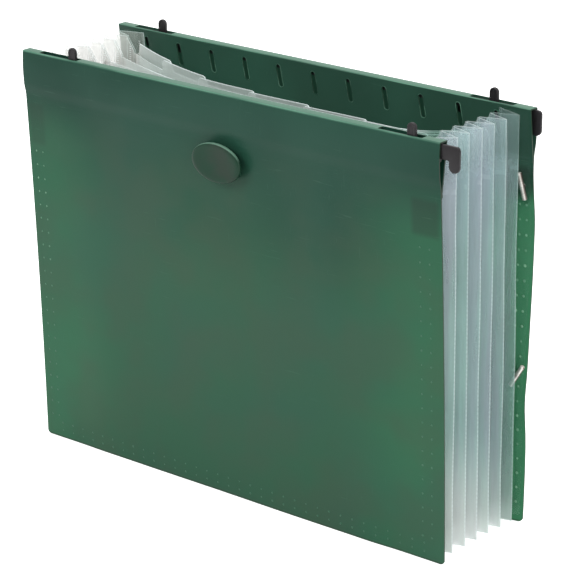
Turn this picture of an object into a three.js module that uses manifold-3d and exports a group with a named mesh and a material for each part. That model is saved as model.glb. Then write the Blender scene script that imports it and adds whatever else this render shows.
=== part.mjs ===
// An expanding hanging folder for letter paper: two covers with hooked hems and six pleated pockets,
// standing open to its full depth. Lengths are in millimetres.
// X runs along the hems, Y from the front cover to the back cover, and Z up.
// The origin is the middle of the front cover's bottom edge.

import * as THREE from 'three';
import { mergeVertices } from 'three/addons/utils/BufferGeometryUtils.js';
import Module from 'manifold-3d';

const wasm = await Module();
wasm.setup();

// Covers
const coverWidth = 298.45;
const coverHeight = 241.3;
const coverSheet = 0.8;
const coverSag = 1.1;
const frontLean = 9.4;
const backLean = 4.3;
const footCornerRadius = 2.5;

// Hems, the folded tops of the covers
const hemDepth = 28;
const hemSlack = 1.2;
const hemStepOut = 1.6;
const hemBelly = 0.4;
const kinkRise = 5;
const bellyRise = 16;
const hemCornerRadius = 0.6;
const weldLap = 2.5;

// Slots for index tabs in the hem's inner flap
const tabSlotCount = 11;
const tabSlotPitch = 25.4;
const tabSlotWidth = 2.4;
const tabSlotHeight = 13.5;
const tabSlotDrop = 4.5;

// Pockets, measured between the sheets
const pocketCount = 6;
const frontPocket = 13.5;
const pocketPitch = 11.1;

// Dividers, and the tabbed liner on the back cover
const dividerSheet = 0.4;
const dividerInset = 18.2;
const dividerFoot = 9;
const dividerDrop = 12.3;
const dividerCornerRadius = 4;
const tabMargin = 6;
const tabRise = 6.5;
const tabSlope = 2.5;
const tabGap = 0.5;
const tabCornerRadius = 2.5;
const linerInset = 1.2;

// Side pleats and pocket bottoms
const gussetSheet = 0.3;
const gussetFoot = 4;
const gussetDrop = 2.3;
const ridgeInset = 2.4;
const pleatFlange = 5.5;
const coverFlange = 18;
const flangeInset = 1.5;
const bottomFlange = 6;
const bottomDrop = 5;
const bottomInset = 0.6;

// Hooks, and the slots for their thumb tabs
const hookSheet = 1.8;
const hookHeadHeight = 8;
const hookReach = 31;
const hookTail = 24;
const hookCornerRadius = 1.6;
const prongWidth = 6.6;
const prongHeight = 14.2;
const notchWidth = 5.6;
const notchStep = 2;
const thumbWidth = 6.4;
const thumbHeight = 7.2;
const thumbSheet = 3;
const thumbDish = 0.5;
const thumbRim = 1.1;
const slotInset = 12.2;
const slotLength = 29;
const slotPlay = 0.4;

// How far along its travel each hook stands
const frontLeftShare = 0;
const frontRightShare = 0.83;
const backLeftShare = 0.27;
const backRightShare = 0.5;

// Rails inside the hems
const railSheet = 1;
const railHeight = 6;
const railInset = 17.2;

// Oval button and its post
const buttonWidth = 35;
const buttonHeight = 23;
const buttonSheet = 2.8;
const buttonBevel = 1;
const buttonLift = 3;
const buttonDrop = 38.5;
const bossRadius = 5.5;
const socketDepth = 3.6;
const postRadius = 3.1;
const postHeadRadius = 7;
const postHeadSheet = 1;

// Elastic closure: its cord, and the barbs that hold its two ends
const cordRadius = 0.9;
const cordBend = 2;
const cordHoleRadius = 1.3;
const barbRadius = 1.4;
const barbLength = 15.5;
const barbChamfer = 0.4;
const barbNeckRadius = 0.9;
const upperBarb = { inset: 5.5, drop: 44.3, tilt: 17 };
const lowerBarb = { inset: 4.5, drop: 153.3, tilt: -31 };

// Clearance between pieces that are welded or lie on each other, and the overrun of a cut
const clearance = 0.3;
const overrun = 1;

// Counts of facets
const wallSteps = 8;
const cornerSteps = 4;
const roundSteps = 20;
const ovalSteps = 32;
const cordSides = 8;
const cordSteps = 60;

// Sizes and places that follow from these
const weldHeight = coverHeight - hemDepth;
const lapFoot = weldHeight - weldLap;
const hemWidth = 2 * coverSheet + hookSheet + railSheet + 3 * clearance + hemSlack;
const tunnelTop = coverHeight - coverSheet;
const backFoot = frontPocket + (pocketCount - 1) * pocketPitch + coverSheet;
const coverEdge = coverWidth / 2;
const coverFoldX = coverEdge - flangeInset - coverFlange;
const dividerWidth = coverWidth - 2 * dividerInset;
const dividerTop = coverHeight - dividerDrop;
const gussetTop = coverHeight - gussetDrop;
const foldX = dividerWidth / 2 + clearance;
const ridgeX = coverEdge - ridgeInset;
const linerWidth = 2 * (coverFoldX - linerInset);
const slotInner = coverEdge - slotInset - slotLength;
const slotTravel = slotLength - thumbWidth - 2 * slotPlay;
const hookTop = tunnelTop - clearance;
const bladeOut = hemStepOut - coverSheet / 2 - clearance - hookSheet / 2;
const railOut = bladeOut - hookSheet / 2 - clearance - railSheet / 2;
const buttonZ = coverHeight - buttonDrop;

const green = new THREE.MeshStandardMaterial({ color: 0x2f6146, roughness: 0.35, metalness: 0 });
const black = new THREE.MeshStandardMaterial({ color: 0x2b2a2c, roughness: 0.5, metalness: 0 });
const frosted = new THREE.MeshStandardMaterial({ color: 0xb8c6c8, roughness: 0.55, metalness: 0 });
const steel = new THREE.MeshStandardMaterial({ color: 0xc8c6c0, roughness: 0.25, metalness: 1 });
const elastic = new THREE.MeshStandardMaterial({ color: 0x27503b, roughness: 0.85, metalness: 0 });

const unitX = new THREE.Vector3(1, 0, 0);
const unitY = new THREE.Vector3(0, 1, 0);
const unitZ = new THREE.Vector3(0, 0, 1);
const runAlongX = new THREE.Matrix4().makeBasis(unitY, unitZ, unitX);
const runAlongY = new THREE.Matrix4().makeBasis(unitX, unitZ, unitY.clone().negate());

function part(name, geometry, material) {
  const mesh = new THREE.Mesh(geometry, material);
  mesh.name = name;
  return mesh;
}

function grouped(parts) {
  const group = new THREE.Group();
  group.add(...parts);
  return group;
}

// A closed mesh with its shared corners merged, ready to be cut or joined
function solid(geometry) {
  const bare = geometry.clone();
  bare.deleteAttribute('normal');
  bare.deleteAttribute('uv');
  const merged = mergeVertices(bare);
  const triVerts = [];
  for (let corner = 0; corner < merged.index.count; corner += 3) {
    const [a, b, c] = merged.index.array.slice(corner, corner + 3);
    if (a !== b && b !== c && c !== a) triVerts.push(a, b, c);
  }
  const vertProperties = new Float32Array(merged.attributes.position.array);
  return new wasm.Manifold(new wasm.Mesh({ numProp: 3, vertProperties, triVerts: new Uint32Array(triVerts) }));
}

function geometryOf(body) {
  const mesh = body.getMesh();
  const geometry = new THREE.BufferGeometry();
  geometry.setAttribute('position', new THREE.BufferAttribute(new Float32Array(mesh.vertProperties), 3));
  geometry.setIndex(new THREE.BufferAttribute(new Uint32Array(mesh.triVerts), 1));
  geometry.computeVertexNormals();
  return geometry;
}

function cut(geometry, cutters) {
  return geometryOf(cutters.reduce((body, cutter) => body.subtract(solid(cutter)), solid(geometry)));
}

function join(geometries) {
  const [first, ...rest] = geometries.map(solid);
  return geometryOf(rest.reduce((body, next) => body.add(next), first));
}

// A shape whose corners are written as two coordinates and, where it is rounded, a radius
function roundedShape(corners) {
  const shape = new THREE.Shape();
  corners.forEach(([x, y, radius = 0], index) => {
    const corner = new THREE.Vector2(x, y);
    const [lastX, lastY] = corners.at(index - 1);
    const [nextX, nextY] = corners[(index + 1) % corners.length];
    const before = new THREE.Vector2(lastX, lastY).sub(corner).setLength(radius).add(corner);
    const after = new THREE.Vector2(nextX, nextY).sub(corner).setLength(radius).add(corner);
    if (index === 0) shape.moveTo(before.x, before.y);
    else shape.lineTo(before.x, before.y);
    if (radius > 0) shape.quadraticCurveTo(x, y, after.x, after.y);
  });
  shape.closePath();
  return shape;
}

function extrude(shape, depth) {
  return new THREE.ExtrudeGeometry(shape, { depth, curveSegments: cornerSteps, bevelEnabled: false });
}

// A shape of Y and Z coordinates, run along X between two places
function prismX(shape, from, to) {
  return extrude(shape, to - from).applyMatrix4(runAlongX).translate(from, 0, 0);
}

// A shape of X and Z coordinates, run along Y between two places
function prismY(shape, from, to) {
  return extrude(shape, to - from).applyMatrix4(runAlongY).translate(0, to, 0);
}

function block(low, high) {
  const size = high.map((value, axis) => value - low[axis]);
  const centre = high.map((value, axis) => (value + low[axis]) / 2);
  return new THREE.BoxGeometry(...size).translate(...centre);
}

function rodY(radius, from, to) {
  return new THREE.CylinderGeometry(radius, radius, to - from, roundSteps).translate(0, (from + to) / 2, 0);
}

// The outline of a thin sheet that follows a path, with mitred folds
function sheetOutline(path, sheet) {
  const points = path.map(([x, y]) => new THREE.Vector2(x, y));
  const normals = points.slice(1).map((point, index) => {
    const run = point.clone().sub(points[index]).normalize();
    return new THREE.Vector2(-run.y, run.x);
  });
  const offsets = points.map((point, index) => {
    const before = normals[Math.max(index - 1, 0)];
    const after = normals[Math.min(index, normals.length - 1)];
    const mitre = before.clone().add(after).normalize();
    return mitre.multiplyScalar(sheet / 2 / mitre.dot(after));
  });
  const left = points.map((point, index) => point.clone().add(offsets[index]));
  const right = points.map((point, index) => point.clone().sub(offsets[index]));
  return [...left, ...right.reverse()];
}

// A sheet through its outlines of X and Y coordinates at rising heights. Its two faces are split along
// the same diagonals, so that it keeps its thickness where it twists.
function loft(heights, outlines) {
  const count = outlines[0].length;
  const turned = THREE.ShapeUtils.area(outlines[0]) < 0;
  const rings = outlines.map((outline) => (turned ? outline.toReversed() : outline));
  const positions = rings.flatMap((ring, level) => ring.flatMap(({ x, y }) => [x, y, heights[level]]));
  const index = [];
  for (let level = 0; level < rings.length - 1; level += 1) {
    for (let side = 0; side < count; side += 1) {
      const a = level * count + side;
      const b = level * count + ((side + 1) % count);
      if (side < count / 2) index.push(a, b, b + count, a, b + count, a + count);
      else index.push(a, b, a + count, b, b + count, a + count);
    }
  }
  const top = (rings.length - 1) * count;
  THREE.ShapeUtils.triangulateShape(rings[0], []).forEach(([a, b, c]) => index.push(a, c, b));
  THREE.ShapeUtils.triangulateShape(rings.at(-1), []).forEach((face) => {
    index.push(...face.map((corner) => top + corner));
  });
  const geometry = new THREE.BufferGeometry();
  geometry.setAttribute('position', new THREE.Float32BufferAttribute(positions, 3));
  geometry.setIndex(index);
  geometry.computeVertexNormals();
  return geometry;
}

// How far the middle of a cover's wall stands out from its foot, at a height up to the weld
function wallOut(lean, height) {
  const share = height / weldHeight;
  const pull = lean / 2 - 2 * coverSag;
  return 2 * share * (1 - share) * pull + share * share * lean;
}

// How far the pocket side of the hem's flap stands out, at a height above the weld
function flapOut(lean, height) {
  const weld = lean - coverSheet / 2 - coverSheet;
  const top = lean + coverSheet / 2 + hemStepOut - hemWidth;
  return THREE.MathUtils.mapLinear(height, weldHeight, coverHeight, weld, top);
}

// How far the pocket side of a cover stands out, at any height
function innerFace(lean, height) {
  if (height > weldHeight) return flapOut(lean, height);
  const lap = height > lapFoot - overrun ? coverSheet : 0;
  return wallOut(lean, height) - coverSheet / 2 - lap;
}

// A cover's section, as distances out from its foot and heights
function coverSection(lean) {
  const half = coverSheet / 2;
  const hemOut = lean + half + hemStepOut;
  const outer = [];
  const inner = [];
  for (let step = 0; step <= wallSteps; step += 1) {
    const share = step / wallSteps;
    outer.push([wallOut(lean, share * weldHeight) + half, share * weldHeight]);
    inner.unshift([wallOut(lean, share * lapFoot) - half, share * lapFoot]);
  }
  return [
    ...outer,
    [hemOut, weldHeight + kinkRise],
    [hemOut + hemBelly, weldHeight + bellyRise],
    [hemOut, coverHeight, hemCornerRadius],
    [hemOut - hemWidth, coverHeight, hemCornerRadius],
    [flapOut(lean, weldHeight), weldHeight],
    [wallOut(lean, lapFoot) - half - coverSheet, lapFoot],
    ...inner,
  ];
}

// The section of the tunnel inside a hem, in the same terms
function tunnelSection(lean) {
  const weld = lean - coverSheet / 2;
  const outer = weld + hemStepOut;
  return [
    [weld, weldHeight + coverSheet],
    [outer, weldHeight + kinkRise],
    [outer + hemBelly, weldHeight + bellyRise],
    [outer, tunnelTop],
    [outer - hemWidth + 2 * coverSheet, tunnelTop],
  ];
}

// A cover is drawn with its outer side towards -Y
function outwardShape(section) {
  return roundedShape(section.map(([out, height, radius]) => [-out, height, radius]).reverse());
}

function tabSlots(lean) {
  const top = coverHeight - tabSlotDrop;
  const weld = coverSheet / 2 - lean;
  const slots = [];
  for (let index = 0; index < tabSlotCount; index += 1) {
    const x = (index - (tabSlotCount - 1) / 2) * tabSlotPitch;
    slots.push(block(
      [x - tabSlotWidth / 2, weld, top - tabSlotHeight],
      [x + tabSlotWidth / 2, weld + hemWidth, top],
    ));
  }
  return slots;
}

function thumbSlots(lean) {
  const outer = coverSheet / 2 - lean - hemStepOut;
  const slot = block(
    [slotInner, outer, tunnelTop - overrun],
    [slotInner + slotLength, outer + hemWidth - 2 * coverSheet, coverHeight + overrun],
  );
  return [slot, slot.clone().rotateZ(Math.PI).translate(0, 2 * outer + hemWidth - 2 * coverSheet, 0)];
}

function footCorners(lean) {
  return [-1, 1].map((hand) => {
    const corner = new THREE.Shape();
    corner.moveTo(hand * (coverEdge + overrun), -overrun);
    corner.lineTo(hand * (coverEdge + overrun), footCornerRadius);
    corner.lineTo(hand * coverEdge, footCornerRadius);
    corner.quadraticCurveTo(hand * coverEdge, 0, hand * (coverEdge - footCornerRadius), 0);
    corner.lineTo(hand * (coverEdge - footCornerRadius), -overrun);
    corner.closePath();
    return prismY(corner, -lean - coverSheet, coverSheet);
  });
}

function coverGeometry(lean, holes) {
  const shape = outwardShape(coverSection(lean));
  shape.holes.push(outwardShape(tunnelSection(lean)));
  const sheet = prismX(shape, -coverEdge, coverEdge);
  return cut(sheet, [...tabSlots(lean), ...thumbSlots(lean), ...footCorners(lean), ...holes]);
}

function railGeometry(lean) {
  return block(
    [railInset - coverEdge, -lean - railOut - railSheet / 2, hookTop - railHeight],
    [coverEdge - railInset, -lean - railOut + railSheet / 2, hookTop],
  );
}

// A hook with its tip at X zero and its top edge at Z zero, pointing along +X or -X
function hookGeometry(hand) {
  const tail = hookReach + hookTail;
  const root = prongWidth + notchWidth;
  const blade = roundedShape([
    [-hand * tail, 0],
    [0, 0, hookCornerRadius],
    [0, -prongHeight, prongWidth / 2],
    [-hand * prongWidth, -prongHeight, prongWidth / 2],
    [-hand * prongWidth, -hookHeadHeight],
    [-hand * root, -hookHeadHeight],
    [-hand * root, -hookHeadHeight - notchStep],
    [-hand * tail, -hookHeadHeight - notchStep],
  ]);
  const thumb = (foot, rim) => roundedShape([
    [-hand * hookReach - thumbWidth / 2 + rim, foot],
    [-hand * hookReach + thumbWidth / 2 - rim, foot],
    [-hand * hookReach + thumbWidth / 2 - rim, thumbTop - rim, thumbWidth / 2 - rim],
    [-hand * hookReach - thumbWidth / 2 + rim, thumbTop - rim, thumbWidth / 2 - rim],
  ]);
  const thumbTop = coverHeight + thumbHeight - hookTop;
  const outer = -hookSheet / 2;
  const body = join([
    prismY(blade, outer, -outer),
    prismY(thumb(-hookHeadHeight, 0), outer, -outer),
    prismY(thumb(tunnelTop - hookTop, 0), outer, outer + thumbSheet),
  ]);
  const dish = thumb(coverHeight - hookTop + thumbRim, thumbRim);
  return cut(body, [
    prismY(dish, outer - overrun, outer + thumbDish),
    prismY(dish, outer + thumbSheet - thumbDish, outer + thumbSheet + overrun),
  ]);
}

function hook(name, hand, share, lean) {
  const mesh = part(name, hookGeometry(hand), black);
  const thumbX = slotInner + slotPlay + thumbWidth / 2 + share * slotTravel;
  mesh.position.set(hand * (thumbX + hookReach), -lean - bladeOut, hookTop);
  return mesh;
}

// Where the flat stretch of wall behind the button lies, and how far it tilts
function buttonSeat() {
  const step = Math.floor((buttonZ / weldHeight) * wallSteps);
  const [low, high] = [step, step + 1].map((level) => (level / wallSteps) * weldHeight);
  const rise = wallOut(frontLean, high) - wallOut(frontLean, low);
  const out = wallOut(frontLean, low) + (rise * (buttonZ - low)) / (high - low);
  return { y: -out, tilt: Math.atan2(rise, high - low) };
}

function buttonGeometry() {
  const face = -coverSheet / 2 - clearance;
  const back = face - buttonLift;
  const oval = new THREE.Shape().absellipse(0, 0, buttonWidth / 2, buttonHeight / 2, 0, 2 * Math.PI);
  const plate = new THREE.ExtrudeGeometry(oval, {
    depth: buttonSheet - 2 * buttonBevel,
    curveSegments: ovalSteps,
    bevelThickness: buttonBevel,
    bevelSize: buttonBevel,
    bevelOffset: -buttonBevel,
    bevelSegments: 2,
  });
  plate.applyMatrix4(runAlongY).translate(0, back - buttonBevel, 0);
  const socket = rodY(postRadius + clearance, face - socketDepth, face + overrun);
  return cut(join([plate, rodY(bossRadius, back - buttonBevel, face)]), [socket]);
}

function postGeometry() {
  const face = coverSheet / 2 + clearance;
  const end = -coverSheet / 2 - socketDepth;
  return join([rodY(postHeadRadius, face, face + postHeadSheet), rodY(postRadius, end, face + postHeadSheet)]);
}

function buttonHole(seat) {
  const hole = rodY(postRadius + clearance, -coverSheet - overrun, coverSheet + overrun);
  return hole.rotateX(seat.tilt).translate(0, seat.y, buttonZ);
}

// Where a barb's neck meets the back cover, in the back cover's own directions
function barbSeat(barb) {
  const height = coverHeight - barb.drop;
  return new THREE.Vector3(barb.inset - coverEdge, -wallOut(backLean, height), height);
}

function cordHole(barb) {
  const { x, y, z } = barbSeat(barb);
  return rodY(cordHoleRadius, y - coverSheet - overrun, y + coverSheet + overrun).translate(x, 0, z);
}

function barbGeometry(barb) {
  const rim = barbRadius - barbChamfer;
  const end = barbLength / 2;
  const profile = [[0, -end], [rim, -end], [barbRadius, barbChamfer - end], [barbRadius, end - barbChamfer]];
  profile.push([rim, end], [0, end]);
  const points = profile.map(([radius, along]) => new THREE.Vector2(radius, along));
  const bar = new THREE.LatheGeometry(points, roundSteps).rotateX(Math.PI / 2);
  bar.rotateY(THREE.MathUtils.degToRad(barb.tilt));
  const seat = barbSeat(barb);
  const inside = seat.y + coverSheet / 2 + clearance;
  const axis = inside + gussetSheet + clearance + barbRadius;
  return join([bar.translate(seat.x, axis, seat.z), rodY(barbNeckRadius, inside, axis).translate(seat.x, 0, seat.z)]);
}

// The cord comes out of one hole, runs down the back cover's outside and goes into the other
function cordGeometry() {
  const ends = [upperBarb, lowerBarb].map(barbSeat);
  const run = ends[1].clone().sub(ends[0]).normalize().multiplyScalar(cordBend);
  const rest = unitY.clone().multiplyScalar(-coverSheet / 2 - clearance - cordBend);
  const [top, foot] = ends.map((seat) => ({
    inside: seat.clone().addScaledVector(unitY, coverSheet / 2),
    outside: seat.clone().addScaledVector(unitY, -coverSheet / 2 - clearance),
    corner: seat.clone().add(rest),
  }));
  const path = new THREE.CurvePath();
  path.add(new THREE.LineCurve3(top.inside, top.outside));
  path.add(new THREE.QuadraticBezierCurve3(top.outside, top.corner, top.corner.clone().add(run)));
  path.add(new THREE.LineCurve3(top.corner.clone().add(run), foot.corner.clone().sub(run)));
  path.add(new THREE.QuadraticBezierCurve3(foot.corner.clone().sub(run), foot.corner, foot.outside));
  path.add(new THREE.LineCurve3(foot.outside, foot.inside));
  const section = new THREE.Shape();
  for (let side = 0; side < cordSides; side += 1) {
    const angle = (side / cordSides) * 2 * Math.PI;
    const point = [cordRadius * Math.cos(angle), cordRadius * Math.sin(angle)];
    if (side === 0) section.moveTo(...point);
    else section.lineTo(...point);
  }
  section.closePath();
  return new THREE.ExtrudeGeometry(section, { steps: cordSteps, extrudePath: path, curveSegments: 1 });
}

// The Y of a divider's middle; the last number gives the back cover's inner face at its foot
function dividerY(number) {
  return coverSheet / 2 + frontPocket + (number - 1) * pocketPitch;
}

function linerY() {
  const face = Math.min(innerFace(backLean, dividerFoot), innerFace(backLean, dividerTop + tabRise));
  return backFoot + face - clearance - dividerSheet / 2;
}

function dividerGeometry(number, width, y) {
  const side = width / 2;
  const pitch = (dividerWidth - 2 * tabMargin) / pocketCount;
  const left = tabMargin - dividerWidth / 2 + (pocketCount - number) * pitch + tabGap;
  const right = left + pitch - 2 * tabGap;
  const outline = roundedShape([
    [-side, dividerFoot],
    [side, dividerFoot],
    [side, dividerTop, dividerCornerRadius],
    [right, dividerTop],
    [right - tabSlope, dividerTop + tabRise, tabCornerRadius],
    [left + tabSlope, dividerTop + tabRise, tabCornerRadius],
    [left, dividerTop],
    [-side, dividerTop, dividerCornerRadius],
  ]);
  return prismY(outline, y - dividerSheet / 2, y + dividerSheet / 2);
}

// Y of a gusset sheet that lies on the rear of one sheet, or on the front of the next
function behind(number, height) {
  if (number === 0) return -innerFace(frontLean, height) + clearance + gussetSheet / 2;
  return dividerY(number) + dividerSheet / 2 + clearance + gussetSheet / 2;
}

function before(number, height) {
  if (number === pocketCount) return backFoot + innerFace(backLean, height) - clearance - gussetSheet / 2;
  return dividerY(number) - dividerSheet / 2 - clearance - gussetSheet / 2;
}

// One side of one pocket: a sheet folded into a V, with a flange on the sheet before and the sheet after
function pleatGeometry(hand, number) {
  const coverEnd = [coverEdge - flangeInset, coverFoldX];
  const dividerEnd = [foldX - pleatFlange, foldX];
  const [frontTip, frontFold] = number === 1 ? coverEnd : dividerEnd;
  const [backTip, backFold] = number === pocketCount ? coverEnd : dividerEnd;
  const wall = [0, 1, 2, 3].map((step) => gussetFoot + (step / 4) * (lapFoot - overrun - gussetFoot));
  const heights = [...wall, lapFoot - overrun, lapFoot, weldHeight, gussetTop];
  const outlines = heights.map((height) => {
    const front = behind(number - 1, height);
    const back = before(number, height);
    const path = [
      [hand * frontTip, front],
      [hand * frontFold, front],
      [hand * ridgeX, dividerY(number) - pocketPitch / 2],
      [hand * backFold, back],
      [hand * backTip, back],
    ];
    return sheetOutline(path, gussetSheet);
  });
  return loft(heights, outlines);
}

function neckHole(barb) {
  const { x, y, z } = barbSeat(barb);
  const hole = rodY(barbNeckRadius + clearance, y, y + pocketPitch / 2).translate(x, 0, z);
  return hole.rotateZ(Math.PI).translate(0, backFoot, 0);
}

function bottomGeometry(number) {
  const fold = dividerFoot;
  const top = dividerFoot + bottomFlange;
  const front = [behind(number - 1, top), behind(number - 1, fold)];
  const liner = linerY() - dividerSheet / 2 - clearance - gussetSheet / 2;
  const back = number === pocketCount ? liner : before(number, fold);
  const side = foldX - pleatFlange - clearance - bottomInset;
  const path = [
    [front[0], top],
    [front[1], fold],
    [(front[1] + back) / 2, fold - bottomDrop],
    [back, fold],
    [back, top],
  ];
  return prismX(new THREE.Shape(sheetOutline(path, gussetSheet)), -side, side);
}

function frontCover() {
  const seat = buttonSeat();
  const button = part('button', buttonGeometry(), green);
  const post = part('button_post', postGeometry(), green);
  [button, post].forEach((piece) => {
    piece.position.set(0, seat.y, buttonZ);
    piece.rotation.x = seat.tilt;
  });
  return grouped([
    part('front_cover', coverGeometry(frontLean, [buttonHole(seat)]), green),
    part('front_rail', railGeometry(frontLean), black),
    hook('hook_front_left', -1, frontLeftShare, frontLean),
    hook('hook_front_right', 1, frontRightShare, frontLean),
    button,
    post,
  ]);
}

// The back cover is turned about to face the other way, so its left side lies towards its own +X
function backCover() {
  const group = grouped([
    part('back_cover', coverGeometry(backLean, [cordHole(upperBarb), cordHole(lowerBarb)]), green),
    part('back_rail', railGeometry(backLean), black),
    hook('hook_back_left', 1, backLeftShare, backLean),
    hook('hook_back_right', -1, backRightShare, backLean),
    part('cord_barb_upper', barbGeometry(upperBarb), steel),
    part('cord_barb_lower', barbGeometry(lowerBarb), steel),
    part('elastic_cord', cordGeometry(), elastic),
  ]);
  group.rotation.z = Math.PI;
  group.position.y = backFoot;
  return group;
}

function pockets() {
  const parts = [part('back_liner', dividerGeometry(pocketCount, linerWidth, linerY()), frosted)];
  for (let number = 1; number <= pocketCount; number += 1) {
    const right = pleatGeometry(1, number);
    const pierced = number === pocketCount ? cut(right, [neckHole(upperBarb), neckHole(lowerBarb)]) : right;
    parts.push(part(`pleat_left_${number}`, pleatGeometry(-1, number), frosted));
    parts.push(part(`pleat_right_${number}`, pierced, frosted));
    parts.push(part(`pocket_bottom_${number}`, bottomGeometry(number), frosted));
    if (number < pocketCount) {
      parts.push(part(`divider_${number}`, dividerGeometry(number, dividerWidth, dividerY(number)), frosted));
    }
  }
  return grouped(parts);
}

export default grouped([frontCover(), backCover(), pockets()]);
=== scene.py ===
"""Looks of the expanding hanging folder: green covers, black hooks and frosted pleated pockets."""

import math

import bmesh
import bpy
from mathutils import Matrix, Vector, noise
from mathutils.geometry import tessellate_polygon

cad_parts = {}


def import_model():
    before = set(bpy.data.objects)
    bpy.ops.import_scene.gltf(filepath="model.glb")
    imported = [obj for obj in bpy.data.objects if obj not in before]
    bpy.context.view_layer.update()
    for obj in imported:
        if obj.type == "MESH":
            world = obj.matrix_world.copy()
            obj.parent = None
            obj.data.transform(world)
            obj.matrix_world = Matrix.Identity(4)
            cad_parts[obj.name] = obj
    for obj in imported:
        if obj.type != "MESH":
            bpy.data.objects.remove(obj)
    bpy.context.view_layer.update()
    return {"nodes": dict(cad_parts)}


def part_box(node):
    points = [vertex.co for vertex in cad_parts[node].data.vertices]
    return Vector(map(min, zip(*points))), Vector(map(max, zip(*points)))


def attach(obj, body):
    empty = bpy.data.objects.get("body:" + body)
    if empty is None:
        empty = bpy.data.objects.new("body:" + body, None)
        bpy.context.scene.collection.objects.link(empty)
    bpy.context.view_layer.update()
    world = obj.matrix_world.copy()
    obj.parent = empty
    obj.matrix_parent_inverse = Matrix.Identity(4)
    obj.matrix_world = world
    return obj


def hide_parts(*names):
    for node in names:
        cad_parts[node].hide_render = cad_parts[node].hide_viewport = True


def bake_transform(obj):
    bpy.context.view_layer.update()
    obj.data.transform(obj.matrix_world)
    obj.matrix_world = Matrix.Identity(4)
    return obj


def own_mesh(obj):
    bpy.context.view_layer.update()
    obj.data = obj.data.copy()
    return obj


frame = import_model()

# Sizes are in millimetres, as in the part's own source, and meshes are written in metres.
MM = 0.001
MERGED_WITHIN = 0.002

COVER_EDGE = 149.225
COVER_HEIGHT = 241.3
COVER_SHEET = 0.8
COVER_SAG = 1.1
FRONT_LEAN = 9.4
BACK_LEAN = 4.3
BACK_FOOT = 69.8
FOOT_CORNER = 2.5

WELD_HEIGHT = 213.3
LAP_FOOT = 210.8
HEM_WIDTH = 6.5
HEM_STEP = 1.6
HEM_BELLY = 0.4
KINK_RISE = 10.0
HEM_CORNER = 0.6
HEM_TOP_CLEARANCE = 1.1

TAB_SLOTS = 11
TAB_SLOT_PITCH = 25.4
TAB_SLOT_WIDTH = 3.0
TAB_SLOT_SLANT = 0.12
TAB_SLOT_TOP = 236.8
TAB_SLOT_FOOT = 223.3
THUMB_SLOT_INNER = 108.025
THUMB_SLOT_OUTER = 137.025
THUMB_SLOT_CORNER = 0.9
SLOT_RIM_RADIUS = 0.24
SLOT_RIM_PLAY = 0.35

# How far the slots' cutters reach: the tab slots' inwards, the thumb slots' outwards and in height
TAB_SLOT_CUT = (6.9, 0.4)
THUMB_SLOT_OUT = (-3.7, 1.2)
THUMB_SLOT_CUT = (239.5, 242.4)

POCKETS = 6
FRONT_POCKET = 13.5
POCKET_PITCH = 11.1
DIVIDER_SHEET = 0.4
DIVIDER_SIDE = 131.025
DIVIDER_FOOT = 9.0
DIVIDER_TOP = 229.0
DIVIDER_CORNER = 4.0
LINER_SIDE = 128.525
LINER_Y = 68.9
TAB_MARGIN = 6.0
TAB_RISE = 6.5
TAB_SLOPE = 1.6
TAB_CORNER = 2.2
TAB_CORNER_DROP = 1.1
TAB_GAP = 0.5
TAB_LAP = 5.5
LINER_LAP = 4.0

GUSSET_SHEET = 0.3
PLEAT_SHEER = (0, 0, 0, 0.03, 0.09, 0.36)
GUSSET_FOOT = 4.0
GUSSET_TOP = 239.0
FOLD_X = 131.325
RIDGE_X = 146.825
COVER_FOLD_X = 129.725
FLANGE_TIP_X = 147.725
PLEAT_FLANGE = 5.5
BOTTOM_SIDE = 124.925
BOTTOM_FLANGE = 6.0
BOTTOM_DROP = 5.0
PLEAT_CREASE = 0.34
BOTTOM_CREASE = 0.55
CLEARANCE = 0.3

# Where the loose middle of each sheet's top edge has dropped forwards to, from the front sheet to the liner
DROOPED_Y = (12.0, 14.4, 17.4, 20.4, 23.6, 26.8)
DROOP_FOOT = 18
DROOP_POWER = 1.35
# Where the loose middle ends, over what reach its droop fades from there, and with what power
LEFT_DROOP = (10, 115, 1.93)
RIGHT_DROOP = (45, 80, 5)
LINER_LOOSENESS = 0.2

HOOK_SHEET = 1.8
HOOK_HEAD = 8.0
HOOK_TAIL = 55.0
HOOK_REACH = 31.0
PRONG_WIDTH = 6.6
PRONG_HEIGHT = 14.2
NOTCH_WIDTH = 5.6
NOTCH_STEP = 2.0
THUMB_HALF_WIDTH = 2.75
THUMB_TOP = 248.0
THUMB_SHEET = 2.3

BUTTON_Z = 202.8
BUTTON_WIDTH = 35.0
BUTTON_HEIGHT = 23.0
BUTTON_HOLE = 3.4
BUTTON_SIDES = 72
UPPER_BARB = (143.725, 197.0)
LOWER_BARB = (144.725, 88.0)
BARB_HOLE = 0.98
BARB_REACH = 3.2
ELASTIC_RADIUS = 0.9
ELASTIC_BEND = 2.0
ELASTIC_SIDES = 14
BRAID_PER_METRE = 620.0
BRAID_TURNS = 4.0

# The columns' X and the rows' Z of the spot welds, outside on both covers and inside on the back one
OUTER_SPOT_COLUMNS = (-144.2, -139.0, 134.9, 141.2)
OUTER_SPOT_ROWS = (9.8, 4.9)
INNER_SPOT_COLUMNS = (-145.2, -141.2, 141.2, 145.2)
COVER_KNURL_X = 146.9
LINER_KNURL_X = 133.0
DIVIDER_KNURL_X = 128.8
TICK_PITCH = 2.6 * MM

# The camera that was fitted to the photograph, in degrees, pixels and metres
CAMERA_AZIMUTH = 39.46
CAMERA_ELEVATION = 19.44
FOCAL_PIXELS = 2741.67
PICTURE_PIXELS = 580
SENSOR = 36
CAMERA_BACK, CAMERA_RIGHT, CAMERA_UP = 1.57762, 0.03142, 0.11785

FLOOR_REACH = 6000.0
FLOOR_DROP = 0.4


def smooth_share(low, high, value):
    share = min(max((value - low) / (high - low), 0.0), 1.0)
    return share * share * (3 - 2 * share)


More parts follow.
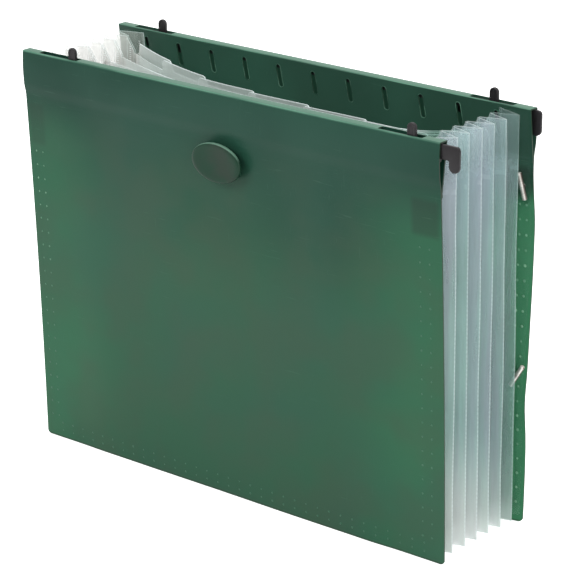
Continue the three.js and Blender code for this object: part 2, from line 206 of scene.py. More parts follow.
def steps(low, high, count):
    return [low + (high - low) * index / count for index in range(count + 1)]


# Shapes shared by the covers and by what lies on them


def slanted(x, z, middle_x, middle_z, face):
    """A point of a tab slot's outline, turned by the slots' slight slant."""
    turned = Matrix.Rotation(face * TAB_SLOT_SLANT, 2) @ Vector((x - middle_x, z - middle_z))
    return (middle_x + turned.x, middle_z + turned.y)


def wall_out(lean, z):
    """How far the middle of a cover's wall stands out from its foot."""
    share = z / WELD_HEIGHT
    pull = lean / 2 - 2 * COVER_SAG
    return 2 * share * (1 - share) * pull + share * share * lean


def flap_out(lean, z):
    """How far a hem's flap stands out, from the weld up to the hem's top."""
    share = (z - WELD_HEIGHT) / (COVER_HEIGHT - WELD_HEIGHT)
    weld = lean - 1.5 * COVER_SHEET
    return weld + share * (lean + COVER_SHEET / 2 + HEM_STEP - HEM_WIDTH - weld)


def hem_out(lean, z):
    """The outer skin of a hem, which steps out above the weld and bellies a little."""
    rise = z - WELD_HEIGHT
    if rise < KINK_RISE:
        return lean + COVER_SHEET / 2 + HEM_STEP * smooth_share(0, KINK_RISE, rise)
    share = (rise - KINK_RISE) / (COVER_HEIGHT - WELD_HEIGHT - KINK_RISE)
    return lean + COVER_SHEET / 2 + HEM_STEP + HEM_BELLY * math.sin(math.pi * share)


def inner_face(lean, z):
    """How far a cover's inner face stands out: the flap above the weld, then the lap, then the wall."""
    if z > WELD_HEIGHT:
        return flap_out(lean, z)
    lap = COVER_SHEET if z > LAP_FOOT - 1 else 0
    return wall_out(lean, z) - COVER_SHEET / 2 - lap


def cover_stand(face):
    """The lean and the foot's Y of the cover whose outside faces along Y as face says, -1 or 1."""
    return (FRONT_LEAN, 0) if face < 0 else (BACK_LEAN, BACK_FOOT)


def wall_wave(x, z):
    """The slight waves of a thin wall, always outwards, and none where a piece is fixed to it."""
    window = smooth_share(122, 96, abs(x)) * smooth_share(206, 150, z)
    button = smooth_share(18, 40, math.hypot(x, z - BUTTON_Z))
    wave = 0.5 + 0.9 * noise.noise(Vector((x / 75, z / 95, 2.3)))
    return 0.9 * max(wave, 0) * window * button


def edge_bend(x, z):
    """How far the back cover's right-hand edge, with what lies on it, has bent back from the flat wall."""
    if x < COVER_FOLD_X:
        return 0
    reach = 4.2 - 1.7 * math.exp(-((z - 71) / 15) ** 2) + 0.5 * math.sin(z / 19)
    return reach * smooth_share(212, 172, z) * (x - COVER_FOLD_X) / (COVER_EDGE - COVER_FOLD_X)


def bend_of(face, x, z):
    """The bend of a cover's edge, which only the back one has."""
    return edge_bend(x, z) if face > 0 else 0


def slot_middles():
    """X of each tab slot's middle."""
    return [(index - (TAB_SLOTS - 1) / 2) * TAB_SLOT_PITCH for index in range(TAB_SLOTS)]


def divider_y(number):
    return COVER_SHEET / 2 + FRONT_POCKET + (number - 1) * POCKET_PITCH


def behind(number, z):
    """Y of a gusset sheet that lies on the rear of a sheet."""
    if number == 0:
        return -inner_face(FRONT_LEAN, z) + CLEARANCE + GUSSET_SHEET / 2
    return divider_y(number) + DIVIDER_SHEET / 2 + CLEARANCE + GUSSET_SHEET / 2


def before(number, z):
    """Y of a gusset sheet that lies on the front of a sheet."""
    if number == POCKETS:
        return BACK_FOOT + inner_face(BACK_LEAN, z) - CLEARANCE - GUSSET_SHEET / 2
    return divider_y(number) - DIVIDER_SHEET / 2 - CLEARANCE - GUSSET_SHEET / 2


def on_front(number, x, z):
    """A point on the gusset sheet that lies on the front of a sheet."""
    bend = edge_bend(x, z) if number == POCKETS else 0
    return (x, before(number, z) - GUSSET_SHEET / 2 + bend, z)


def body_of_sheet(number):
    if number == 0:
        return "front_cover"
    return "back_cover" if number == POCKETS else f"divider_{number}"


# Mesh helpers


def new_object(name, mesh):
    obj = bpy.data.objects.new(name, mesh)
    bpy.context.scene.collection.objects.link(obj)
    return obj


def solid_of(name, points, faces, material=None, edges=(), outwards=True):
    """An object from points in millimetres, with its faces turned outwards."""
    mesh = bpy.data.meshes.new(name)
    mesh.from_pydata([Vector(p) * MM for p in points], edges, faces)
    if faces and outwards:
        shell = bmesh.new()
        shell.from_mesh(mesh)
        bmesh.ops.recalc_face_normals(shell, faces=shell.faces)
        shell.to_mesh(mesh)
        shell.free()
    if material:
        mesh.materials.append(material)
    return new_object(name, mesh)


def shade(obj, degrees):
    obj.data.shade_smooth()
    obj.data.set_sharp_from_angle(angle=math.radians(degrees))
    return obj


def settled(obj):
    """The object with its modifiers made part of its mesh."""
    graph = bpy.context.evaluated_depsgraph_get()
    mesh = bpy.data.meshes.new_from_object(obj.evaluated_get(graph))
    old = obj.data
    obj.modifiers.clear()
    obj.data = mesh
    bpy.data.meshes.remove(old)
    mesh.name = obj.name
    return obj


def finish_piece(obj, body, slot, *nodes):
    """Says which body a piece rides and hides the CAD nodes that it stands in for. The slot is not used."""
    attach(obj, body)
    if nodes:
        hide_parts(*nodes)


def note_values(mesh, name, values):
    """Keeps one number for each point of a mesh, for its material to read."""
    kept = mesh.attributes.new(name, "FLOAT", "POINT")
    kept.data.foreach_set("value", values)


def prism_y(outline, low, high):
    """Points and faces of an outline of X and Z, run along Y."""
    count = len(outline)
    points = [(x, low, z) for x, z in outline] + [(x, high, z) for x, z in outline]
    faces = [list(range(count)), list(range(2 * count - 1, count - 1, -1))]
    for side in range(count):
        after = (side + 1) % count
        faces.append([side, side + count, after + count, after])
    return points, faces


def joined(shapes):
    """One list of points and one of faces for several shapes."""
    points, faces = [], []
    for more_points, more_faces in shapes:
        faces += [[corner + len(points) for corner in face] for face in more_faces]
        points += more_points
    return points, faces


def arc(centre, radius, start, end, count):
    """Points of an arc between two angles in degrees."""
    angles = [math.radians(start + (end - start) * k / count) for k in range(count + 1)]
    return [(centre[0] + radius * math.cos(a), centre[1] + radius * math.sin(a)) for a in angles]


def filleted(corners, count=7):
    """An outline through corners of X, Z and a radius, each rounded by its radius."""
    outline = []
    for index, (x, z, radius) in enumerate(corners):
        here = Vector((x, z))
        back = (Vector(corners[index - 1][:2]) - here).normalized()
        ahead = (Vector(corners[(index + 1) % len(corners)][:2]) - here).normalized()
        half = back.angle(ahead) / 2
        centre = here + (back + ahead).normalized() * (radius / math.sin(half))
        start = here + back * (radius / math.tan(half)) - centre
        turn = start.angle_signed(here + ahead * (radius / math.tan(half)) - centre)
        for share in steps(0, 1, count) if radius else [0]:
            outline.append(tuple(centre + Matrix.Rotation(-turn * share, 2) @ start))
    return outline


def round_slot(left, right, low, high, radius, count=5):
    """The outline of an upright slot with rounded corners."""
    (near, far), (top, foot) = (right - radius, left + radius), (high - radius, low + radius)
    corners = ((near, top), (far, top), (far, foot), (near, foot))
    return [p for k, corner in enumerate(corners) for p in arc(corner, radius, 90 * k, 90 * k + 90, count)]


# Shader helpers and the node groups that the materials share


def colour(red, green, blue):
    """A colour as it reads on a screen, from 0 to 255, as the linear values that a shader takes."""

    def linear(value):
        share = value / 255
        return share / 12.92 if share <= 0.04045 else ((share + 0.055) / 1.055) ** 2.4

    return (linear(red), linear(green), linear(blue), 1.0)


class Value:
    """A number in a node tree, on which sums are written as usual."""

    def __init__(self, shader, socket):
        self.shader, self.socket = shader, socket

    def __add__(self, other):
        return self.shader.math("ADD", self, other)

    def __mul__(self, other):
        return self.shader.math("MULTIPLY", self, other)

    def __sub__(self, other):
        return self.shader.math("SUBTRACT", self, other)

    def __rsub__(self, other):
        return self.shader.math("SUBTRACT", other, self)

    def __abs__(self):
        return self.shader.math("ABSOLUTE", self)

    __radd__, __rmul__ = __add__, __mul__

    def held(self):
        """The same sum, held between zero and one."""
        self.socket.node.use_clamp = True
        return self


class Shader:
    """A tree's nodes, written as calls."""

    def __init__(self, tree):
        self.tree = tree

    def node(self, kind, settings=None, **inputs):
        made = self.tree.nodes.new(kind)
        for name, value in (settings or {}).items():
            setattr(made, name, value)
        for name, value in inputs.items():
            self.feed(made.inputs[name.replace("_", " ")], value)
        return made

    def feed(self, socket, value):
        """Links a socket, or sets its value. A colour of three numbers is one as it reads on a screen."""
        value = value.socket if isinstance(value, Value) else value
        if isinstance(value, bpy.types.NodeSocket):
            self.tree.links.new(value, socket)
        elif socket.type == "RGBA" and len(value) == 3:
            socket.default_value = colour(*value)
        else:
            socket.default_value = value

    def read(self, kind, output, settings=None, **inputs):
        """One output of a new node, as a value."""
        return Value(self, self.node(kind, settings, **inputs).outputs[output])

    def math(self, operation, a, b=0.0):
        made = self.node("ShaderNodeMath", {"operation": operation})
        self.feed(made.inputs[0], a)
        self.feed(made.inputs[1], b)
        return Value(self, made.outputs[0])

    def most(self, a, b):
        return self.math("MAXIMUM", a, b)

    def mix(self, share, a, b):
        """A colour between two. The node has its sockets for colours at 6, 7 and 2."""
        made = self.node("ShaderNodeMix", {"data_type": "RGBA"}, Factor=share)
        self.feed(made.inputs[6], a)
        self.feed(made.inputs[7], b)
        return made.outputs[2]

    def ramp(self, value, low, high):
        """Zero below low and one above high, smoothly between. It falls where low is the greater."""
        smooth = {"interpolation_type": "SMOOTHSTEP"}
        return self.read("ShaderNodeMapRange", 0, smooth, Value=value, From_Min=low, From_Max=high)

    def between(self, value, low, high, soft):
        """One from low to high and zero outside, with soft ends."""
        return self.ramp(value, low - soft, low + soft) * self.ramp(value, high + soft, high - soft)

    def place(self):
        return self.node("ShaderNodeTexCoord").outputs["Object"]

    def parts(self, vector):
        """X, Y and Z of a vector."""
        return [Value(self, part) for part in self.node("ShaderNodeSeparateXYZ", Vector=vector).outputs]

    def noise(self, scale, detail=2.0, stretch=(1, 1, 1)):
        """Noise on the object's own coordinates, with features of 1/scale metres."""
        turned = self.node("ShaderNodeMapping", Vector=self.place(), Scale=stretch)
        return self.read("ShaderNodeTexNoise", 0, Vector=turned.outputs[0], Scale=scale, Detail=detail)


SOCKET_KINDS = {
    float: "NodeSocketFloat", int: "NodeSocketInt", tuple: "NodeSocketColor", type(None): "NodeSocketMaterial"
}


def add_inputs(tree, inputs):
    """Adds inputs to a tree, each of the kind of its default."""
    for label, value in inputs.items():
        socket = tree.interface.new_socket(label, in_out="INPUT", socket_type=SOCKET_KINDS[type(value)])
        if value is not None:
            socket.default_value = value


def new_group(name, inputs, outputs):
    group = bpy.data.node_groups.new(name, "ShaderNodeTree")
    add_inputs(group, inputs)
    for label, kind in outputs:
        group.interface.new_socket(label, in_out="OUTPUT", socket_type=kind)
    shader = Shader(group)
    return group, shader, shader.node("NodeGroupInput").outputs, shader.node("NodeGroupOutput")


def soft_mottle_group():
    """Broad cloudy patches of one colour in another, as in a thin sheet that things lie behind."""
    inputs = {"Colour": (1, 1, 1, 1), "Cloud Colour": (0, 0, 0, 1), "Scale": 12.0, "Amount": 0.5}
    group, shader, given, out = new_group("soft_mottle", inputs, [("Colour", "NodeSocketColor")])
    cloud = shader.ramp(shader.noise(given["Scale"], 2.5), 0.38, 0.66)
    mask = (cloud * given["Amount"]).held()
    shader.feed(out.inputs["Colour"], shader.mix(mask, given["Colour"], given["Cloud Colour"]))
    return group


def fine_grain_group():
    """The fine surface grain of moulded or rolled plastic, as a height and a change of roughness."""
    inputs = {"Scale": 1500.0, "Roughness": 0.4, "Spread": 0.06}
    outputs = [("Height", "NodeSocketFloat"), ("Roughness", "NodeSocketFloat")]
    group, shader, given, out = new_group("fine_grain", inputs, outputs)
    shader.feed(out.inputs["Height"], shader.noise(given["Scale"], 2.0))
    change = (shader.noise(28.0, 3.0) - 0.5) * given["Spread"] * 4.0
    shader.feed(out.inputs["Roughness"], (change + given["Roughness"]).held())
    return group


def fine_scratches_group():
    """Faint straight rub marks, stronger in some places than in others."""
    inputs = {"Scale": 60.0, "Amount": 0.3}
    group, shader, given, out = new_group("fine_scratches", inputs, [("Mask", "NodeSocketFloat")])
    along = shader.ramp(shader.noise(given["Scale"], 3.0, (1, 1, 22)), 0.66, 0.74)
    across = shader.ramp(shader.noise(given["Scale"], 3.0, (26, 26, 1)), 0.67, 0.76)
    where = shader.ramp(shader.noise(14.0, 1.0), 0.42, 0.62)
    shader.feed(out.inputs["Mask"], (shader.most(along, across) * where * given["Amount"]).held())
    return group


SOFT_MOTTLE = soft_mottle_group()
FINE_GRAIN = fine_grain_group()
FINE_SCRATCHES = fine_scratches_group()


# Materials. Heights and distances in them are in metres, on the object's own coordinates.


class Material(Shader):
    """A material with a Principled BSDF, whose even values are set on its own sockets."""

    def __init__(self, name, **constant):
        self.material = bpy.data.materials.new(name)
        self.material.use_nodes = True
        super().__init__(self.material.node_tree)
        self.surface = self.tree.nodes["Principled BSDF"]
        self.give(**constant)

    def give(self, **inputs):
        for label, value in inputs.items():
            self.feed(self.surface.inputs[label.replace("_", " ")], value)

    def group(self, group, **inputs):
        return self.node("ShaderNodeGroup", {"node_tree": group}, **inputs).outputs

    def normal(self):
        return self.parts(self.node("ShaderNodeNewGeometry").outputs["Normal"])

    def mottled(self, tone, cloud, scale, amount):
        return self.group(SOFT_MOTTLE, Colour=tone, Cloud_Colour=cloud, Scale=scale, Amount=amount)["Colour"]

    def scratches(self, scale, amount):
        return Value(self, self.group(FINE_SCRATCHES, Scale=scale, Amount=amount)["Mask"])

    def grained(self, scale, roughness, spread=0.05):
        """Sets the roughness, with a fine grain, and returns the grain's height."""
        made = self.group(FINE_GRAIN, Scale=scale, Roughness=roughness, Spread=spread)
        self.give(Roughness=made["Roughness"])
        return Value(self, made["Height"])

    def bump(self, height, strength, distance):
        made = self.node("ShaderNodeBump", Height=height, Strength=strength, Distance=distance)
        self.give(Normal=made.outputs[0])


def cover_material(name, below, upper, change, wandering, strip, strip_share):
    """Green polypropylene sheet: cloudy, softly glossy, with painted shade that makes it bluer and darker
    high up, and darker where doubled.

    Near the sides, where nothing lies behind the single sheet, it is painted lighter, as painted light let
    through the sheet.
    """
    look = Material(name, IOR=1.49, Specular_IOR_Level=0.12, Emission_Strength=1.0)
    x, _, z = look.parts(look.place())
    facing_side, _, facing_up = look.normal()
    # Painted shade: the sheet is painted darker and bluer high up, where less light falls on it.
    painted_shade_above = look.ramp(z + (look.noise(7.0, 2.0) - 0.5) * wandering, *change)
    tone = look.mix(painted_shade_above, below, upper)

    # Painted light: the sides are painted lighter and greener, more so low down, as if more light came
    # through.
    painted_light_aside = look.ramp(abs(x), 0.07, 0.14) * look.ramp(z, 0.222, 0.185) * 0.6
    tone = look.mix(painted_light_aside * (look.ramp(z, 0.1, 0.02) * 0.5 + 1.0), tone, (46, 103, 73))
    tone = look.mottled(tone, (43, 82, 68), 10.0, 0.45)
    tone = look.mottled(tone, (64, 76, 62), 24.0, look.ramp(z, 0.235, 0.17) * 0.3)

    # Painted light: a lighter strip by the edges, used on the back cover, whose inside lies in shade.
    single = look.ramp(abs(x), 0.096, 0.126) * strip_share * (1.0 - painted_shade_above)
    tone = look.mix(single, tone, strip)
    left = look.between(x, -0.1475, -0.1360, 0.0022) * look.between(z, 0.1855, 0.2100, 0.0022)
    right = look.between(x, 0.1300, 0.1475, 0.0022) * look.between(z, 0.1880, 0.2080, 0.0022)
    tone = look.mix(look.most(left * 0.28, right * 0.46), tone, (34, 50, 42))
    tone = look.mix(look.scratches(55.0, 0.07), tone, (110, 150, 130))

    # Painted shade: the cut edges at the sides and along the foot are darkened.
    cut = look.ramp(abs(facing_side), 0.75, 0.9)
    painted_shade_foot_edge = look.ramp(z, 0.0016, 0.0004) * 0.6
    tone = look.mix(look.most(cut, painted_shade_foot_edge) * 0.7, tone, (40, 46, 36))
    # Painted highlight: the hem's flat top is painted lighter where it faces up. Along the rounded fold the
    # lighter tone is partly stress whitening and partly a painted highlight.
    high = look.ramp(z, 0.2398, 0.2404)
    tone = look.mix(high * look.ramp(facing_up, 0.86, 0.97) * 0.45, tone, (98, 146, 122))
    bent = look.ramp(facing_up, 0.1, 0.35) * look.ramp(facing_up, 0.97, 0.8)
    bent = high * bent * look.ramp(look.noise(24.0, 2.0), 0.2, 0.7)
    look.give(Base_Color=look.mix(bent, tone, (96, 141, 120)))

    # Painted light: the back cover's hem glows faintly green, so that its slots and tunnel look lit.
    through = look.ramp(z, 0.204, 0.210) * strip_share
    look.give(Emission_Color=look.mix(through, (0, 0, 0), (22, 46, 35)))
    weld = look.between(x, -0.15, 0.15, 0.0003) * look.between(z, 0.2112, 0.2128, 0.0003) * -0.6
    look.bump(look.noise(17.0, 2.0) * 8.0 + look.grained(1300.0, 0.33) + weld, 0.22, 0.0002)
    return look.material


def weld_spot_material(name, tone, cloud, fading):
    """The small lighter spots where the pocket sheets are welded to a cover, fainter lower and rightwards."""
    look = Material(name, IOR=1.49, Specular_IOR_Level=0.3)
    x, _, z = look.parts(look.place())
    faint = look.most(look.ramp(z, 0.17, 0.05), look.ramp(x, -0.1, 0.1)) * fading
    faint = look.most(faint, look.ramp(z, 0.0115, 0.0105) * 0.95)
    look.give(Base_Color=look.mix(faint, look.mottled(tone, cloud, 90.0, 0.8), (46, 96, 72)))
    look.grained(2400.0, 0.30)
    return look.material


def slot_rim_material():
    """The rolled rim of a tab slot, stretched paler than the sheet about it."""
    look = Material("slot_rim_green", IOR=1.49, Specular_IOR_Level=0.4)
    look.give(Base_Color=look.mottled((30, 66, 52), (84, 126, 106), 150.0, 0.9))
    look.grained(2400.0, 0.3)
    return look.material


def button_material():
    """The button's own green, smoother than the sheet, with handling marks and a painted highlight on its
    upward faces.
    """
    look = Material("button_green", IOR=1.49, Specular_IOR_Level=0.15)
    tone = look.mottled((19, 55, 39), (37, 52, 42), 60.0, 0.8)
    tone = look.mix(look.scratches(140.0, 0.16), tone, (96, 128, 110))
    # Painted highlight: the button's faces that turn upwards are painted lighter.
    rim = look.ramp(look.normal()[2], 0.35, 0.75) * 0.6
    look.give(Base_Color=look.mix(rim, tone, (120, 160, 140)))
    look.bump(look.grained(2200.0, 0.28, 0.04), 0.12, 0.0001)
    return look.material


def black_material(name, tone, roughness, scale):
    """Dark moulded plastic with a fine spark grain and greyer rub marks."""
    look = Material(name, IOR=1.5, Specular_IOR_Level=0.2)
    base = look.mottled(tone, tuple(v + 8 for v in tone), 70.0, 0.7)
    look.give(Base_Color=look.mix(look.scratches(160.0, 0.25), base, (92, 90, 92)))
    look.bump(look.grained(scale, roughness), 0.3, 0.0002)
    return look.material


def frosted_material(name, tone, alpha, grazing, crease_alpha, cooling, banding):
    """Frosted clear sheet: hazy, with drawn streaks, painted paler at its foot as painted light from the
    white floor seen through it, and whiter where folded or cut.
    """
    look = Material(name, IOR=1.49)
    x, y, z = look.parts(look.place())
    kept = [{"attribute_name": name} for name in ("crease", "laid", "sheer")]
    crease, laid, sheer = (look.read("ShaderNodeAttribute", "Fac", setting) for setting in kept)
    foot = look.ramp(z + y * 0.6, 0.094, 0.022)
    bands = look.ramp(look.noise(30.0, 2.0, (4.5, 4.5, 0.25)), 0.38, 0.62)
    tint = look.mottled(tone, tuple(min(v + 14, 255) for v in tone), 26.0, 0.7)
    tint = look.mix(look.ramp(z, 0.16, 0.215) * cooling, tint, (192, 212, 222))
    tint = look.mix(bands * banding, tint, (198, 202, 216))
    # Painted light: the foot is painted paler, as the white floor seen through the sheets.
    tint = look.mix(foot * 0.7, tint, (248, 250, 246))
    leftmost = look.mix(bands, (238, 238, 234), (218, 218, 214))
    tint = look.mix(look.ramp(x, -0.118, -0.128), tint, leftmost)
    tint = look.mix(sheer * 0.85, tint, (94, 150, 130))
    crease_tint = look.mix((sheer * 1.2).held(), (228, 238, 238), (170, 206, 196))
    look.give(Base_Color=look.mix(crease, tint, crease_tint))

    cover = alpha + look.read("ShaderNodeLayerWeight", "Facing", Blend=0.35) * grazing
    cover = cover + foot * 0.12 + look.ramp(z, 0.022, 0.004) * 0.24
    ticks = look.math("SINE", z * (2 * math.pi / TICK_PITCH)) * 0.2 + 0.8
    cover = cover + crease * crease_alpha * ticks
    marks = look.between(z, 0.2082, 0.2108, 0.0004) * look.ramp(look.noise(210.0, 1.0, (1, 1, 0.3)), 0.4, 0.6)
    streaks = look.noise(42.0, 3.0, (9, 9, 0.5)) - 0.5
    cover = (cover + marks * 0.06 + streaks * 0.12).held()

    upper = look.ramp(z, 0.211, 0.221) * look.ramp(x, 0.0, 0.05)
    thinner = sheer * (1.2 * cooling) + 0.6 * cooling
    shown = (1.0 - laid * 0.9) * (1.0 - sheer * 0.4) * (1.0 - upper * thinner)
    # A sheet's two faces act as one: a ray is held back where it enters, and passes freely where it leaves.
    entering = 1.0 - look.read("ShaderNodeNewGeometry", "Backfacing")
    look.give(Alpha=cover * shown * entering * (2.0 - cover))
    look.bump(look.grained(1900.0, 0.42, 0.06), 0.03, 0.0001)
    return look.material


def steel_material():
    """Bright steel wire, drawn and slightly scuffed."""
    look = Material("barb_steel", Metallic=0.5)
    tone = look.mottled((216, 212, 206), (168, 162, 154), 240.0, 0.7)
    shade_side = look.ramp(look.normal()[0], 0.62, 0.85) * 0.85
    look.give(Base_Color=look.mix(shade_side, tone, (66, 54, 44)))
    look.grained(2600.0, 0.28)
    look.bump(look.scratches(300.0, 1.0), 0.12, 0.0001)
    return look.material


def elastic_material():
    """Braided elastic: two sets of threads that cross as they wind round the cord, with painted shade in the
    hollows between them.
    """
    look = Material("elastic_braid", IOR=1.45, Roughness=0.85)
    turn, along, _ = look.parts(look.node("ShaderNodeUVMap", {"uv_map": "braid"}).outputs[0])
    waves = [
        look.math("SINE", (along * BRAID_PER_METRE + turn * (BRAID_TURNS * hand)) * (2 * math.pi))
        for hand in (1, -1)
    ]
    # Painted shade: the hollows between the threads are darker than the threads' crests.
    over = look.ramp(look.most(*waves), -0.2, 0.9)
    look.give(Base_Color=look.mix(over, (18, 44, 32), (52, 98, 72)))
    look.bump(over, 0.6, 0.0003)
    return look.material


# Each cover's upper tone is painted shade, darker and bluer than its lower one.
COVER = cover_material(
    "cover_green_sheet", below=(43, 86, 64), upper=(23, 60, 48), change=(0.12, 0.222), wandering=0.1,
    strip=(43, 86, 64), strip_share=0.0,
)
# The back cover's lighter strip by its edges is painted light, and so is its hem's glow.
BACK = cover_material(
    "back_cover_green_sheet", below=(50, 106, 78), upper=(30, 52, 44), change=(0.186, 0.197), wandering=0.003,
    strip=(63, 130, 92), strip_share=0.92,
)
WELD_SPOT = weld_spot_material("weld_spot_green", (74, 122, 94), (104, 150, 122), 0.88)
# The inside spots are a lighter copy of the outer ones: painted light on spots that lie in shade.
INNER_SPOT = weld_spot_material("inner_weld_spot_green", (112, 168, 136), (150, 200, 168), 0.12)
SLOT_RIM = slot_rim_material()
BUTTON = button_material()
HOOK = black_material("hook_black_plastic", (33, 31, 33), 0.42, 1600.0)
RAIL = black_material("rail_black_plastic", (40, 40, 42), 0.5, 1100.0)
GUSSET = frosted_material(
    "frosted_gusset", (184, 219, 212), alpha=0.20, grazing=0.12, crease_alpha=0.38, cooling=0.5, banding=0.7
)
DIVIDER = frosted_material(
    "frosted_divider", (206, 216, 212), alpha=0.36, grazing=0.24, crease_alpha=0.34, cooling=0.0, banding=0.0
)
STEEL = steel_material()
ELASTIC = elastic_material()
ELASTIC_END = black_material("elastic_end", (26, 46, 36), 0.8, 1400.0)


# Geometry node trees for what repeats


class Geometry(Shader):
    """A geometry tree's nodes, written as calls."""

    def vector(self, x, y, z):
        return self.node("ShaderNodeCombineXYZ", X=x, Y=y, Z=z).outputs[0]


def new_geometry_tree(name, inputs):
    tree = bpy.data.node_groups.new(name, "GeometryNodeTree")
    tree.interface.new_socket("Geometry", in_out="OUTPUT", socket_type="NodeSocketGeometry")
    tree.interface.new_socket("Rows", in_out="INPUT", socket_type="NodeSocketGeometry")
    add_inputs(tree, inputs)
    build = Geometry(tree)
    return build, build.node("NodeGroupInput").outputs


def finish_tree(build, given, points, piece, **inputs):
    """Sets a piece on each point, makes it real and gives it the tree's material."""
    placed = build.node("GeometryNodeInstanceOnPoints", Points=points, Instance=piece, **inputs)
    real = build.node("GeometryNodeRealizeInstances", Geometry=placed.outputs[0])
    finished = build.node("GeometryNodeSetMaterial", Geometry=real.outputs[0], Material=given["Material"])
    build.feed(build.node("NodeGroupOutput").inputs[0], finished.outputs[0])
    return build.tree


def spots_along_rows_tree():
    """Small flat spots at an even pitch along rows that lie on a sheet."""
    inputs = {"Pitch": 0.008, "Width": 0.0014, "Height": 0.0014, "Thickness": 0.0004}
    inputs |= {"Unevenness": 0.15, "Seed": 3, "Material": None}
    build, given = new_geometry_tree("spots_along_rows", inputs)
    line = build.node("GeometryNodeMeshToCurve", Mesh=given["Rows"]).outputs[0]
    even = build.node("GeometryNodeResampleCurve", {"mode": "LENGTH"}, Curve=line, Length=given["Pitch"])
    spot = build.node("GeometryNodeMeshUVSphere", Segments=8, Rings=4, Radius=0.5).outputs[0]
    vary = build.node("FunctionNodeRandomValue", {"data_type": "FLOAT"}, Seed=given["Seed"])
    build.feed(vary.inputs[2], build.math("SUBTRACT", 1.0, given["Unevenness"]))
    build.feed(vary.inputs[3], build.math("ADD", 1.0, given["Unevenness"]))
    scaled = build.node("ShaderNodeVectorMath", {"operation": "SCALE"}, Scale=vary.outputs[1])
    build.feed(scaled.inputs[0], build.vector(given["Width"], given["Thickness"], given["Height"]))
    return finish_tree(build, given, even.outputs[0], spot, Scale=scaled.outputs[0])


def slot_rims_tree():
    """A rounded rim about each of a row of upright slots, tilted with the flap that they are cut in."""
    inputs = {"Width": 0.0024, "Length": 0.0135, "Rim": 0.0003, "Tilt": 0.0, "Slant": 0.0, "Material": None}
    build, given = new_geometry_tree("slot_rims", inputs)
    loop = build.node(
        "GeometryNodeCurvePrimitiveQuadrilateral", {"mode": "RECTANGLE"},
        Width=given["Width"], Height=given["Length"],
    )
    rounded = build.node("GeometryNodeFilletCurve", {"mode": "POLY"}, Curve=loop.outputs[0], Count=4)
    build.feed(rounded.inputs["Radius"], build.math("MULTIPLY", given["Width"], 0.49))
    section = build.node("GeometryNodeCurvePrimitiveCircle", Resolution=6, Radius=given["Rim"])
    rim = build.node("GeometryNodeCurveToMesh", Curve=rounded.outputs[0], Profile_Curve=section.outputs[0])
    turned = build.vector(build.math("ADD", given["Tilt"], math.pi / 2), given["Slant"], 0.0)
    return finish_tree(build, given, given["Rows"], rim.outputs[0], Rotation=turned)


SPOTS_ALONG_ROWS = spots_along_rows_tree()
SLOT_RIMS = slot_rims_tree()


def grown(name, points, edges, tree, **inputs):
    """What a geometry tree makes of some points and the rows between them, as a plain mesh."""
    obj = solid_of(name, points, [], edges=edges)
    modifier = obj.modifiers.new("grow", "NODES")
    modifier.node_group = tree
    sockets = {s.name: s.identifier for s in tree.interface.items_tree if s.in_out == "INPUT"}
    for label, value in inputs.items():
        modifier[sockets[label]] = value
    return shade(settled(obj), 60)


def spotted(name, lines, material, seed, **sizes):
    """Spots along some rows of points, with the spots' sizes in millimetres."""
    points, edges = [], []
    for line in lines:
        edges += [(len(points) + k, len(points) + k + 1) for k in range(len(line) - 1)]
        points += line
    sizes = {label: size * MM for label, size in sizes.items()}
    return grown(name, points, edges, SPOTS_ALONG_ROWS, Seed=seed, Material=material, **sizes)


# Covers


def cover_skin(lean):
    """A cover's outer line, from its foot up the outside, over the hem and down the inside."""
    half = COVER_SHEET / 2
    line = [(wall_out(lean, z) + half, z) for z in steps(0, WELD_HEIGHT, 44)]
    line += [(hem_out(lean, z), z) for z in steps(WELD_HEIGHT + 1, COVER_HEIGHT - HEM_CORNER, 18)]
    out = lean + half + HEM_STEP
    top = COVER_HEIGHT - HEM_CORNER
    line += arc((out - HEM_CORNER, top), HEM_CORNER, 15, 90, 5)
    line += arc((out - HEM_WIDTH + HEM_CORNER, top), HEM_CORNER, 90, 175, 5)
    line += [(flap_out(lean, z), z) for z in steps(top - 1, WELD_HEIGHT + 0.4, 12)]
    line += [(flap_out(lean, WELD_HEIGHT) + 0.1, WELD_HEIGHT)]
    line += [(wall_out(lean, LAP_FOOT) - half - COVER_SHEET, LAP_FOOT + 0.3)]
    line += [(wall_out(lean, LAP_FOOT) - half - COVER_SHEET + 0.3, LAP_FOOT)]
    line += [(wall_out(lean, z) - half, z) for z in steps(LAP_FOOT, 0, 44)]
    return line


def cover_tunnel(lean):
    """The line of the tunnel inside a hem."""
    foot = WELD_HEIGHT + COVER_SHEET
    top = COVER_HEIGHT - COVER_SHEET
    line = [(lean - COVER_SHEET / 2, foot)]
    line += [(hem_out(lean, z) - COVER_SHEET, z) for z in steps(foot + 0.6, top, 14)]
    line += [(lean + COVER_SHEET / 2 + HEM_STEP - HEM_WIDTH + COVER_SHEET, top)]
    return line


